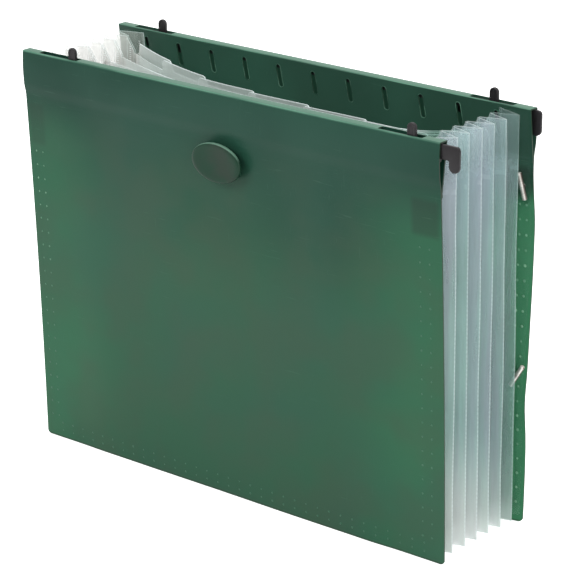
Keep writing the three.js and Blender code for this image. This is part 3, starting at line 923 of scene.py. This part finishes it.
def cover_cutters(lean, holes, face):
    """What is cut from a cover, as distances out: tab slots, thumb slots, its foot's corners and holes."""
    shapes = []
    for x in slot_middles():
        half = TAB_SLOT_WIDTH / 2
        outline = round_slot(x - half, x + half, TAB_SLOT_FOOT, TAB_SLOT_TOP, half * 0.98)
        outline = [slanted(*p, x, (TAB_SLOT_FOOT + TAB_SLOT_TOP) / 2, face) for p in outline]
        shapes.append(prism_y(outline, lean - TAB_SLOT_CUT[0], lean - TAB_SLOT_CUT[1]))
    for hand in (-1, 1):
        middle = hand * (THUMB_SLOT_INNER + THUMB_SLOT_OUTER) / 2
        reach = (THUMB_SLOT_OUTER - THUMB_SLOT_INNER) / 2
        near, far = lean + THUMB_SLOT_OUT[0], lean + THUMB_SLOT_OUT[1]
        outline = round_slot(middle - reach, middle + reach, near, far, THUMB_SLOT_CORNER)
        points, faces = prism_y(outline, *THUMB_SLOT_CUT)
        shapes.append(([(x, out, z) for x, z, out in points], faces))
        edge, inset = hand * COVER_EDGE, hand * (COVER_EDGE - FOOT_CORNER)
        angles = (0, -90) if hand > 0 else (180, 270)
        corner = [(edge + hand, -1), (edge + hand, FOOT_CORNER), (edge, FOOT_CORNER)]
        corner += arc((inset, FOOT_CORNER), FOOT_CORNER, *angles, 7)[1:] + [(inset, -1)]
        shapes.append(prism_y(corner, -2.5, lean + 2.5))
    for x, z, radius in holes:
        out = wall_out(lean, z)
        shapes.append(prism_y(arc((x, z), radius, 0, 348.75, 31), out - 2, out + 2))
    return joined(shapes)


def cover_piece(name, face, holes, material):
    """A cover as one closed sheet. Its outside faces along Y as face says, -1 or 1."""
    lean, foot = cover_stand(face)
    skin, tunnel = cover_skin(lean), cover_tunnel(lean)
    columns = sorted([*steps(-COVER_EDGE, COVER_EDGE, 62), COVER_FOLD_X])
    points, faces = [], []
    for x in columns:
        for line, waves in ((skin, True), (tunnel, False)):
            for out, z in line:
                wave = wall_wave(face * x, z) if waves and z < LAP_FOOT else 0
                bend = bend_of(face, x, z) if waves else 0
                points.append((x, foot + face * (out + wave) + bend, z))
    ring = len(skin) + len(tunnel)
    for column in range(len(columns) - 1):
        for start, count in ((0, len(skin)), (len(skin), len(tunnel))):
            for side in range(count):
                a = column * ring + start + side
                b = column * ring + start + (side + 1) % count
                faces.append([a, b, b + ring, a + ring])
    loops = [[Vector((out, z, 0)) for out, z in line] for line in (skin, tunnel)]
    last = (len(columns) - 1) * ring
    for triangle in tessellate_polygon(loops):
        faces.append(list(triangle))
        faces.append([corner + last for corner in reversed(triangle)])
    cover = solid_of(name, points, faces, material)
    cut_points, cut_faces = cover_cutters(lean, holes, face)
    cut_points = [(x, foot + face * out + bend_of(face, x, z), z) for x, out, z in cut_points]
    cutter = solid_of("cutter", cut_points, cut_faces, material)
    cut = cover.modifiers.new("cut", "BOOLEAN")
    cut.object, cut.operation, cut.solver = cutter, "DIFFERENCE", "EXACT"
    settled(cover)
    bpy.data.objects.remove(cutter)
    return shade(cover, 28)


def make_covers():
    front = cover_piece("front_cover_sheet", -1, [(0, BUTTON_Z, BUTTON_HOLE)], COVER)
    finish_piece(front, "front_cover", "cover_green", "front_cover")
    holes = [(*UPPER_BARB, BARB_HOLE), (*LOWER_BARB, BARB_HOLE)]
    back = cover_piece("back_cover_sheet", 1, holes, BACK)
    finish_piece(back, "back_cover", "cover_green", "back_cover")


def outer_point(x, z, face):
    """A point on the outside of a cover's wall."""
    lean, foot = cover_stand(face)
    out = wall_out(lean, z) + COVER_SHEET / 2 + wall_wave(face * x, z)
    return (x, foot + face * out + bend_of(face, x, z), z)


def make_weld_spots():
    """The spot welds of the pocket sheets: two columns by each side and two rows along the foot."""
    for face, body in ((-1, "front_cover"), (1, "back_cover")):
        lines = [[outer_point(x, z, face) for z in steps(14, 181, 40)] for x in OUTER_SPOT_COLUMNS]
        lines += [[outer_point(x, z, face) for x in steps(-136, 136, 60)] for z in OUTER_SPOT_ROWS]
        spots = spotted(
            f"weld_spots_{body}", lines, WELD_SPOT, 3, Pitch=8.1, Width=1.2, Height=1.2, Thickness=0.42
        )
        finish_piece(spots, body, "cover_green")
    lines = [[on_front(POCKETS, x, z) for z in steps(12, 186, 42)] for x in INNER_SPOT_COLUMNS]
    inside = spotted(
        "weld_spots_inside", lines, INNER_SPOT, 8, Pitch=8.4, Width=1.7, Height=1.7, Thickness=0.42
    )
    finish_piece(inside, "back_cover", "cover_green")


def make_slot_rims():
    """The rolled rims of the tab slots in both flaps."""
    middle, length = (TAB_SLOT_FOOT + TAB_SLOT_TOP) / 2, TAB_SLOT_TOP - TAB_SLOT_FOOT
    for face, body in ((-1, "front_cover"), (1, "back_cover")):
        lean, foot = cover_stand(face)
        y = foot + face * flap_out(lean, middle)
        slope = face * (flap_out(lean, TAB_SLOT_TOP) - flap_out(lean, TAB_SLOT_FOOT))
        rims = grown(
            f"tab_slot_rims_{body}", [(x, y, middle) for x in slot_middles()], [], SLOT_RIMS,
            Width=(TAB_SLOT_WIDTH + SLOT_RIM_PLAY) * MM, Length=(length + SLOT_RIM_PLAY) * MM,
            Rim=SLOT_RIM_RADIUS * MM,
            Tilt=-math.atan2(slope, length), Slant=-face * TAB_SLOT_SLANT, Material=SLOT_RIM,
        )
        finish_piece(rims, body, "cover_green")


# Hooks, button, barbs and cord


def rounded(obj, width, degrees):
    """The object with the edges that are sharper than an angle rounded."""
    bevel = obj.modifiers.new("round", "BEVEL")
    bevel.width, bevel.segments = width * MM, 2
    bevel.limit_method, bevel.angle_limit = "ANGLE", math.radians(degrees)
    return shade(settled(obj), 40)


def refined(node, name, material, width, degrees):
    """A copy of a CAD node with its faces merged and its sharp edges rounded."""
    shell = bmesh.new()
    shell.from_mesh(frame["nodes"][node].data)
    bmesh.ops.remove_doubles(shell, verts=shell.verts, dist=MERGED_WITHIN * MM)
    bmesh.ops.dissolve_limit(shell, angle_limit=math.radians(1), verts=shell.verts, edges=shell.edges)
    mesh = bpy.data.meshes.new(name)
    shell.to_mesh(mesh)
    shell.free()
    mesh.materials.append(material)
    return rounded(new_object(name, mesh), width, degrees)


def hook_blade(outer, inner):
    """A hook's blade from its tip at X zero: head, prong, notch and the tail that slides in the hem."""
    top = COVER_HEIGHT - HEM_TOP_CLEARANCE
    root = PRONG_WIDTH + NOTCH_WIDTH
    corners = [(0, 0, 2.3), (0, -PRONG_HEIGHT, 3.2), (-PRONG_WIDTH, -PRONG_HEIGHT, 3.2)]
    corners += [(-PRONG_WIDTH, -HOOK_HEAD, 1.1), (-root, -HOOK_HEAD, 0.9)]
    corners += [(-root, -HOOK_HEAD - NOTCH_STEP, 0.8), (-HOOK_TAIL, -HOOK_HEAD - NOTCH_STEP, 1.5)]
    corners += [(-HOOK_TAIL, 0, 1.5)]
    return prism_y([(x, top + z) for x, z in filleted(corners)], outer, inner)


def thumb_ring(inset, foot):
    """The upright outline of a thumb tab, drawn in by some distance."""
    half = THUMB_HALF_WIDTH - inset
    centre = (-HOOK_REACH, THUMB_TOP - THUMB_HALF_WIDTH)
    dome = arc(centre, half, 0, 180, 14)
    return [(-HOOK_REACH + half, foot + inset), *dome, (-HOOK_REACH - half, foot + inset)]


def thumb_tab(outer, inwards):
    """A thumb tab: a domed plate with a raised rim about a shallow dish on each face."""
    dish, middle, far = 0.4, COVER_HEIGHT - HOOK_HEAD + 1, THUMB_SHEET
    profile = [(1.35, dish), (1.1, 0.12), (0.85, 0.0), (0.3, 0.05), (0.06, 0.3), (0, 0.7)]
    profile += [(inset, far - depth) for inset, depth in reversed(profile)]
    rings = []
    for inset, depth in profile:
        rings.append([(x, outer + inwards * depth, z) for x, z in thumb_ring(inset, middle)])
    return ring_shell(rings)


def make_hooks():
    for side in ("front_left", "front_right", "back_left", "back_right"):
        node = f"hook_{side}"
        low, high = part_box(node)
        hand = -1 if side.endswith("left") else 1
        tip = (low[0] if hand < 0 else high[0]) / MM
        inwards = 1 if side.startswith("front") else -1
        outer = (low[1] if inwards > 0 else high[1]) / MM
        points, faces = joined([hook_blade(outer, outer + inwards * HOOK_SHEET), thumb_tab(outer, inwards)])
        points = [(tip + hand * x, y, z) for x, y, z in points]
        hook = solid_of(f"{node}_moulding", points, faces, HOOK)
        finish_piece(rounded(hook, 0.32, 50), node, "hook_black", node)


def ring_shell(rings):
    """Points and faces of a closed skin through rings of equal counts."""
    count = len(rings[0])
    points = [p for ring in rings for p in ring]
    faces = []
    for level in range(len(rings) - 1):
        for side in range(count):
            a, b = level * count + side, level * count + (side + 1) % count
            faces.append([a, b, b + count, a + count])
    faces.append(list(range(count))[::-1])
    faces.append([len(points) - count + k for k in range(count)])
    return points, faces


def make_button():
    """The oval button: a crowned plate with a rolled rim and a shallow thumb dish, on a round boss."""
    slope = (wall_out(FRONT_LEAN, BUTTON_Z + 4) - wall_out(FRONT_LEAN, BUTTON_Z - 4)) / 8
    seat = -wall_out(FRONT_LEAN, BUTTON_Z)
    turned = Matrix.Translation((0, seat, BUTTON_Z)) @ Matrix.Rotation(math.atan(slope), 4, "X")
    # Shares of the oval's size with their Y, and then the boss's radii with theirs
    oval = [(0.02, -6.15), (0.25, -6.17), (0.45, -6.24), (0.62, -6.38), (0.76, -6.52), (0.86, -6.58)]
    oval += [(0.93, -6.50), (0.975, -6.22), (0.995, -5.8), (1.0, -5.3), (0.995, -4.7), (0.97, -4.2)]
    oval += [(0.93, -3.85), (0.87, -3.72), (0.5, -3.7), (0.35, -3.7)]
    boss = ((5.9, -3.6), (5.5, -3.3), (5.5, -0.75), (3.3, -0.7))
    rings = [(BUTTON_WIDTH / 2 * share, BUTTON_HEIGHT / 2 * share, y) for share, y in oval]
    rings += [(radius, radius, y) for radius, y in boss]
    angles = [2 * math.pi * k / BUTTON_SIDES for k in range(BUTTON_SIDES)]
    shell = []
    for wide, high, y in rings:
        shell.append([turned @ Vector((wide * math.cos(a), y, high * math.sin(a))) for a in angles])
    button = solid_of("oval_button", *ring_shell(shell), BUTTON)
    finish_piece(shade(button, 50), "front_cover", "cover_green", "button")
    post = refined("button_post", "button_rivet", BUTTON, 0.25, 35)
    finish_piece(post, "front_cover", "cover_green", "button_post")


def make_barbs():
    """The two steel barbs, each with the dark end of the elastic at its neck."""
    for level, (x, z) in (("upper", UPPER_BARB), ("lower", LOWER_BARB)):
        node = f"cord_barb_{level}"
        barb = refined(node, f"steel_barb_{level}", STEEL, 0.12, 50)
        neck = min(vertex.co.y for vertex in barb.data.vertices) + BARB_REACH * MM
        barb.data.materials.append(ELASTIC_END)
        for face in barb.data.polygons:
            face.material_index = 1 if face.center.y > neck else 0
        barb.data.transform(Matrix.Translation((0, edge_bend(x, z) * MM, 0)))
        finish_piece(barb, "back_cover", "bright_steel", node)


def curved(start, corner, end):
    """Points of a bend from start to end, which a corner draws to itself."""
    shares = steps(0, 1, 8)
    return [(1 - s) ** 2 * start + 2 * s * (1 - s) * corner + s ** 2 * end for s in shares]


def cord_path():
    """The elastic's middle line: out of one hole, down the back cover's outside and into the other."""
    barbs = (UPPER_BARB, LOWER_BARB)
    upper, lower = (Vector((x, BACK_FOOT + wall_out(BACK_LEAN, z) + edge_bend(x, z), z)) for x, z in barbs)
    inside, outside = Vector((0, -COVER_SHEET / 2, 0)), Vector((0, COVER_SHEET / 2 + CLEARANCE, 0))
    turn = outside + Vector((0, ELASTIC_BEND, 0))
    run = (lower - upper).normalized() * ELASTIC_BEND
    line = [upper + inside] + curved(upper + outside, upper + turn, upper + turn + run)
    line += [(upper + turn + run).lerp(lower + turn - run, share) for share in steps(0, 1, 90)[1:-1]]
    return line + curved(lower + turn - run, lower + turn, lower + outside) + [lower + inside]


def make_elastic():
    """The braided elastic cord, with its braid's own coordinates round and along it."""
    path, sides = cord_path(), ELASTIC_SIDES
    lengths, rings = [0.0], []
    for here, after in zip(path, path[1:]):
        lengths.append(lengths[-1] + (after - here).length)
    angles = [2 * math.pi * k / sides for k in range(sides)]
    for index, point in enumerate(path):
        ahead = (path[min(index + 1, len(path) - 1)] - path[max(index - 1, 0)]).normalized()
        across = (Vector((1, 0, 0)) - ahead * ahead.x).normalized()
        other = ahead.cross(across)
        rings.append([point + ELASTIC_RADIUS * (math.cos(a) * across + math.sin(a) * other) for a in angles])
    cord = solid_of("elastic_closure", *ring_shell(rings), ELASTIC)
    mesh = cord.data
    braid = mesh.uv_layers.new(name="braid")
    for face in mesh.polygons:
        turns = [mesh.loops[loop].vertex_index % sides for loop in face.loop_indices]
        wraps = max(turns) - min(turns) > sides / 2
        for loop, turn in zip(face.loop_indices, turns):
            level = mesh.loops[loop].vertex_index // sides
            share = (turn + sides if wraps and turn == 0 else turn) / sides
            braid.data[loop].uv = (share, lengths[level] * MM)
    finish_piece(shade(cord, 60), "back_cover", "elastic_green", "elastic_cord")


def finish_rails():
    for node in ("front_rail", "back_rail"):
        rail = frame["nodes"][node]
        rail.data.materials.clear()
        rail.data.materials.append(RAIL)


# Frosted pockets


def sheet_outline(path, sheet):
    """The outline of a thin sheet that follows a path, with mitred folds."""
    points = [Vector(p) for p in path]
    runs = [(b - a).normalized() for a, b in zip(points, points[1:])]
    normals = [Vector((-run.y, run.x)) for run in runs]
    left, right = [], []
    for index, point in enumerate(points):
        first, second = normals[max(index - 1, 0)], normals[min(index, len(normals) - 1)]
        mitre = (first + second).normalized()
        offset = mitre * (sheet / 2 / mitre.dot(second))
        left.append(point + offset)
        right.append(point - offset)
    return left, right


def sheet_shell(levels):
    """Points and faces of a thin closed sheet from its left and right lines at each level."""
    across = len(levels[0][0])
    points, faces = [], []
    for left, right in levels:
        points += left + right
    ring = 2 * across
    for level in range(len(levels) - 1):
        for k in range(across - 1):
            a = level * ring + k
            faces.append([a, a + 1, a + 1 + ring, a + ring])
            b = a + across
            faces.append([b + 1, b, b + ring, b + 1 + ring])
        for k, turned in ((0, False), (across - 1, True)):
            a, b = level * ring + k, level * ring + k + across
            faces.append([a, b, b + ring, a + ring] if turned else [b, a, a + ring, b + ring])
    for level, turned in ((0, False), (len(levels) - 1, True)):
        for k in range(across - 1):
            a = level * ring + k
            quad = [a, a + 1, a + 1 + across, a + across]
            faces.append(quad[::-1] if turned else quad)
    return points, faces


def eased_path(corners, reach):
    """A path with a point close on each side of every fold, and how creased each point is."""
    path, creases = [], []
    last = len(corners) - 1
    for index, corner in enumerate(corners):
        here = Vector(corner)
        if index > 0:
            path.append(here + (Vector(corners[index - 1]) - here).normalized() * reach)
            creases.append(0.0)
        path.append(here)
        creases.append(1.0 if 0 < index < last else 0.75)
        if index < last:
            path.append(here + (Vector(corners[index + 1]) - here).normalized() * reach)
            creases.append(0.0)
    return path, creases


def pleat_corners(hand, number, z):
    """The plan of one side of one pocket at a height: flange, fold, ridge, fold and flange."""
    slack = Vector((number * 3.7, hand * 5.1, z / 60))
    ridge_x = RIDGE_X + 1.4 - 2.6 * z / GUSSET_TOP + 0.45 * noise.noise(slack)
    ridge_y = divider_y(number) - POCKET_PITCH / 2 + 0.5 * noise.noise(slack + Vector((0, 0, 9)))
    divider_end = (FOLD_X - PLEAT_FLANGE, FOLD_X)
    cover_tip = FLANGE_TIP_X - 5.0 * (1 - math.sqrt(max(0, 1 - max(0, (z - GUSSET_TOP + 5) / 5) ** 2)))
    front_tip, front_fold = (cover_tip, COVER_FOLD_X) if number == 1 else divider_end
    back_tip, back_fold = (cover_tip, COVER_FOLD_X) if number == POCKETS else divider_end
    front, back = behind(number - 1, z), before(number, z)
    bent = back + (edge_bend(hand * back_tip, z) if number == POCKETS else 0)
    corners = [(front_tip, front), (front_fold, front), (ridge_x, ridge_y), (back_fold, back)]
    return [(hand * x, y) for x, y in [*corners, (back_tip, bent)]]


def pleat_heights():
    levels = steps(GUSSET_FOOT + 0.6, LAP_FOOT - 1, 26) + [LAP_FOOT, WELD_HEIGHT]
    levels += steps(WELD_HEIGHT + 4, GUSSET_TOP - 5, 4) + steps(GUSSET_TOP - 4, GUSSET_TOP - 0.7, 5)
    return [GUSSET_FOOT, *levels, GUSSET_TOP - 0.05]


def frosted_piece(name, levels, creases, material):
    piece = solid_of(name, *sheet_shell(levels), material)
    note_values(piece.data, "crease", creases)
    return shade(piece, 30)


def finish_fold(piece, number, node):
    """Finishes a pocket's folded side or bottom, which lies between the sheets before and behind it: hides
    its CAD node and bakes its transform into its mesh.
    """
    start = behind(number - 1, GUSSET_FOOT) + GUSSET_SHEET / 2
    end = before(number, GUSSET_FOOT) - GUSSET_SHEET / 2
    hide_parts(node)
    start * MM
    end * MM
    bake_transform(piece)


def flange_drops(number, z):
    """How far each point of a pleat's plan stands below the ridge: the dividers' flanges slope down."""
    drop = (GUSSET_TOP - DIVIDER_TOP - 1) * (z - GUSSET_FOOT) / (GUSSET_TOP - GUSSET_FOOT)
    front = 0 if number == 1 else drop
    back = 0 if number == POCKETS else drop
    return [front, front * 0.9, front * 0.15, *[0] * 7, back * 0.15, back * 0.9, back]


def make_pleat(hand, side, number):
    levels, creases = [], []
    heights = pleat_heights()
    # A flange that lies on a cover is marked as laid, point by point of the plan, on both of its sides
    laid = ([float(number == 1)] * 3 + [0.0] * 7 + [float(number == POCKETS)] * 3) * 2 * len(heights)
    for z in heights:
        path, folded = eased_path(pleat_corners(hand, number, z), PLEAT_CREASE)
        left, right = sheet_outline(path, GUSSET_SHEET)
        drops = flange_drops(number, z)
        levels.append(tuple([(p.x, p.y, z - drop) for p, drop in zip(line, drops)] for line in (left, right)))
        cut_edge = 0.9 if z in (heights[0], heights[-1]) else 0
        creases += [max(value, cut_edge) for value in folded * 2]
    pleat = frosted_piece(f"gusset_{side}_{number}", levels, creases, GUSSET)
    note_values(pleat.data, "laid", laid)
    note_values(pleat.data, "sheer", [PLEAT_SHEER[number - 1]] * len(laid))
    finish_fold(pleat, number, f"pleat_{side}_{number}")


def make_bottom(number):
    """The folded bottom of one pocket, between the feet of the sheets before and behind it."""
    top, fold = DIVIDER_FOOT + BOTTOM_FLANGE, DIVIDER_FOOT
    liner = LINER_Y - DIVIDER_SHEET / 2 - CLEARANCE - GUSSET_SHEET / 2
    back = liner if number == POCKETS else before(number, fold)
    front = behind(number - 1, fold)
    levels, creases = [], []
    for x in [-BOTTOM_SIDE, *steps(-BOTTOM_SIDE + 0.6, BOTTOM_SIDE - 0.6, 30), BOTTOM_SIDE]:
        sag = 0.5 * noise.noise(Vector((x / 40, number * 2.9, 1.7)))
        middle = ((front + back) / 2, fold - BOTTOM_DROP + 0.5 + sag)
        corners = [(behind(number - 1, top), top), (front, fold), middle, (back, fold), (back, top)]
        path, folded = eased_path(corners, BOTTOM_CREASE)
        left, right = sheet_outline(path, GUSSET_SHEET)
        levels.append(([(x, p.x, p.y) for p in left], [(x, p.x, p.y) for p in right]))
        creases += folded * 2
    bottom = frosted_piece(f"pocket_fold_{number}", levels, creases, GUSSET)
    finish_fold(bottom, number, f"pocket_bottom_{number}")


def divider_top(x, side, left, right):
    """The height of a divider's top edge, with its tab and rounded corners."""
    over = abs(x) - (side - DIVIDER_CORNER)
    z = DIVIDER_TOP
    if over > 0:
        z -= DIVIDER_CORNER - math.sqrt(max(DIVIDER_CORNER ** 2 - over ** 2, 0))
    inside = min(x - left, right - x)
    if inside <= 0:
        return z
    past = inside - TAB_SLOPE + 0.4
    crown = TAB_RISE - TAB_CORNER_DROP * (1 - max(past, 0) / TAB_CORNER) ** 2
    crown = TAB_RISE if past > TAB_CORNER else crown
    return z + min(inside / TAB_SLOPE * (TAB_RISE - TAB_CORNER_DROP), crown)


def divider_columns(side, left, right):
    """The X of a divider's points, closer at its corners, by its tab and where its ends turn sheer."""
    columns = set(steps(-side + DIVIDER_CORNER, side - DIVIDER_CORNER, 44))
    for hand in (-1, 1):
        insets = [DIVIDER_CORNER * (1 - math.sin(math.radians(a))) for a in range(0, 91, 15)]
        columns |= {hand * (side - inset) for inset in [*insets, 0.4]}
        columns |= {hand * x for x in (125, 123.5, 121.5, 119)}
    for inset in (0, 0.8, 1.6, 2.1, 2.5, 3.0, 3.6, 4.3, 5.2):
        columns |= {left + inset, right - inset}
    kept = []
    for x in sorted(columns):
        if not kept or x - kept[-1] > 0.12:
            kept.append(x)
    return kept


def sheet_droop(number, x, z):
    """How far a loose sheet has dropped forwards onto those in front: most at its middle and top."""
    upright = LINER_Y if number == POCKETS else divider_y(number)
    start, reach, power = LEFT_DROOP if x < 0 else RIGHT_DROOP
    share = 1 - min(max(abs(x) - start, 0) / reach, 1) ** power
    if number == POCKETS:
        share = LINER_LOOSENESS + (1 - LINER_LOOSENESS) * share
    rise = min(max(z - DROOP_FOOT, 0) / (DIVIDER_TOP + TAB_RISE - DROOP_FOOT), 1) ** DROOP_POWER
    ripple = 1.1 * noise.noise(Vector((x / 70, z / 130, 4 + 0.11 * number)))
    return share * rise * (DROOPED_Y[number - 1] - upright + ripple)


def make_divider(number):
    """A frosted sheet with its tab. The right ends turn sheer, and the left ends' top edges fade."""
    liner = number == POCKETS
    side = LINER_SIDE if liner else DIVIDER_SIDE
    y = LINER_Y if liner else divider_y(number)
    pitch = (2 * DIVIDER_SIDE - 2 * TAB_MARGIN) / POCKETS
    left = TAB_MARGIN - DIVIDER_SIDE + (POCKETS - number) * pitch + TAB_GAP
    right = left + pitch - 2 * TAB_GAP
    left -= 0 if liner else TAB_LAP
    right += LINER_LAP if liner else 0
    columns = divider_columns(side, left, right)
    shares = [0, 0.003, *steps(0.04, 0.985, 22), 0.997, 1]
    kept_edge = [1 - (0 if liner else 0.85 * smooth_share(86, 106, -x)) for x in columns]
    side_edge = [0.8 if abs(x) > side - 0.05 else 0 for x in columns]
    levels, creases = [], []
    for share in shares:
        front, rear = [], []
        for x in columns:
            z = DIVIDER_FOOT + (divider_top(x, side, left, right) - DIVIDER_FOOT) * share
            bowed = y + sheet_droop(number, x, z)
            front.append((x, bowed + DIVIDER_SHEET / 2, z))
            rear.append((x, bowed - DIVIDER_SHEET / 2, z))
        levels.append((front, rear))
        edge = float(share in (0, 1))
        creases += [max(edge * kept, cut) for kept, cut in zip(kept_edge, side_edge)] * 2
    name = "liner_sheet" if liner else f"divider_sheet_{number}"
    sheet = frosted_piece(name, levels, creases, DIVIDER)
    note_values(sheet.data, "sheer", [smooth_share(98, 112, x) for x in columns] * 2 * len(shares))
    node = "back_liner" if liner else f"divider_{number}"
    finish_piece(sheet, body_of_sheet(number), "frosted_clear", node)
    y * MM
    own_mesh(sheet)


def knurl_rows(number):
    """The knurled weld lines of the flanges on one sheet, on the side of it that faces the camera."""
    heights = steps(GUSSET_FOOT + 3, GUSSET_TOP - 6, 60)

    def front(x, z):
        return on_front(number, x, z)

    def rear(x, z):
        return (x, behind(number, z) + GUSSET_SHEET / 2, z)

    if number == 0:
        places = [(COVER_KNURL_X, rear)]
    elif number == POCKETS:
        places = [(LINER_KNURL_X, front)]
    else:
        places = [(DIVIDER_KNURL_X, front), (DIVIDER_KNURL_X, rear)]
    return [[point(hand * x, z) for z in heights] for hand in (-1, 1) for x, point in places]


def make_knurled_welds():
    for number in range(POCKETS + 1):
        welds = spotted(
            f"knurled_weld_{number}", knurl_rows(number), GUSSET, 20 + number,
            Pitch=1.25, Width=1.5, Height=0.62, Thickness=0.22,
        )
        note_values(welds.data, "crease", [0.8] * len(welds.data.vertices))
        finish_piece(welds, body_of_sheet(number), "frosted_clear")


def make_pockets():
    for number in range(1, POCKETS + 1):
        make_divider(number)
        make_bottom(number)
        for hand, side in ((-1, "left"), (1, "right")):
            make_pleat(hand, side, number)


# Studio


def make_camera():
    azimuth, elevation = math.radians(CAMERA_AZIMUTH), math.radians(CAMERA_ELEVATION)
    level = math.cos(elevation)
    back = Vector((math.sin(azimuth) * level, -math.cos(azimuth) * level, math.sin(elevation)))
    right = Vector((math.cos(azimuth), math.sin(azimuth), 0))
    up = back.cross(right)
    camera = new_object("camera", bpy.data.cameras.new("camera"))
    camera.data.sensor_width = SENSOR
    camera.data.lens = SENSOR * FOCAL_PIXELS / PICTURE_PIXELS
    camera.data.clip_end = 30
    place = back * CAMERA_BACK + right * CAMERA_RIGHT + up * CAMERA_UP
    camera.matrix_world = Matrix.Translation(place) @ Matrix((right, up, back)).transposed().to_4x4()
    bpy.context.scene.camera = camera


def area_light(name, place, target, size, power):
    light = bpy.data.lights.new(name, "AREA")
    light.shape, light.size, light.size_y, light.energy = "RECTANGLE", size[0], size[1], power
    lamp = new_object(name, light)
    lamp.location = place
    lamp.rotation_euler = (Vector(target) - Vector(place)).to_track_quat("-Z", "Y").to_euler()


def make_lights():
    middle = (0, 0.035, 0.13)
    area_light("key_softbox", (-0.9, -1.7, 1.5), middle, (1.4, 1.1), 24)
    area_light("right_softbox", (1.9, -0.5, 1.0), middle, (1.2, 1.3), 20)
    area_light("top_softbox", (0.1, 0.5, 1.9), middle, (1.6, 1.2), 22)


def seen_or_mirrored(shader):
    """One for what the camera sees, also in a reflection and through glass, and zero for what only lights."""
    kinds = ("Camera", "Glossy", "Transmission")
    rays = [shader.read("ShaderNodeLightPath", f"Is {kind} Ray") for kind in kinds]
    return (rays[0] + rays[1] + rays[2]).held()


def make_world():
    world = bpy.data.worlds.new("studio")
    bpy.context.scene.world = world
    world.use_nodes = True
    shader = Shader(world.node_tree)
    background = world.node_tree.nodes["Background"]
    background.inputs["Color"].default_value = (1, 1, 1, 1)
    shader.feed(background.inputs["Strength"], seen_or_mirrored(shader) * 0.5 + 0.5)


def make_floor():
    """A wide white floor that reads as white to the camera and still takes the folder's shadow."""
    far = FLOOR_REACH
    corners = [(x, y, -FLOOR_DROP) for x, y in ((-far, -far), (far, -far), (far, far), (-far, far))]
    look = Material("floor_white", Roughness=0.9, Specular_IOR_Level=0.0)
    look.give(Base_Color=(0.86, 0.86, 0.86, 1), Emission_Color=(1, 1, 1, 1))
    look.give(Emission_Strength=seen_or_mirrored(look) * 0.75)
    solid_of("floor", corners, [[0, 1, 2, 3]], look.material, outwards=False)


def main():
    make_camera()
    make_covers()
    make_weld_spots()
    make_slot_rims()
    make_hooks()
    make_button()
    make_barbs()
    make_elastic()
    finish_rails()
    make_pockets()
    make_knurled_welds()
    make_lights()
    make_world()
    make_floor()
    scene = bpy.context.scene
    scene.view_settings.view_transform = "Standard"
    scene.cycles.transparent_max_bounces = 64


main()
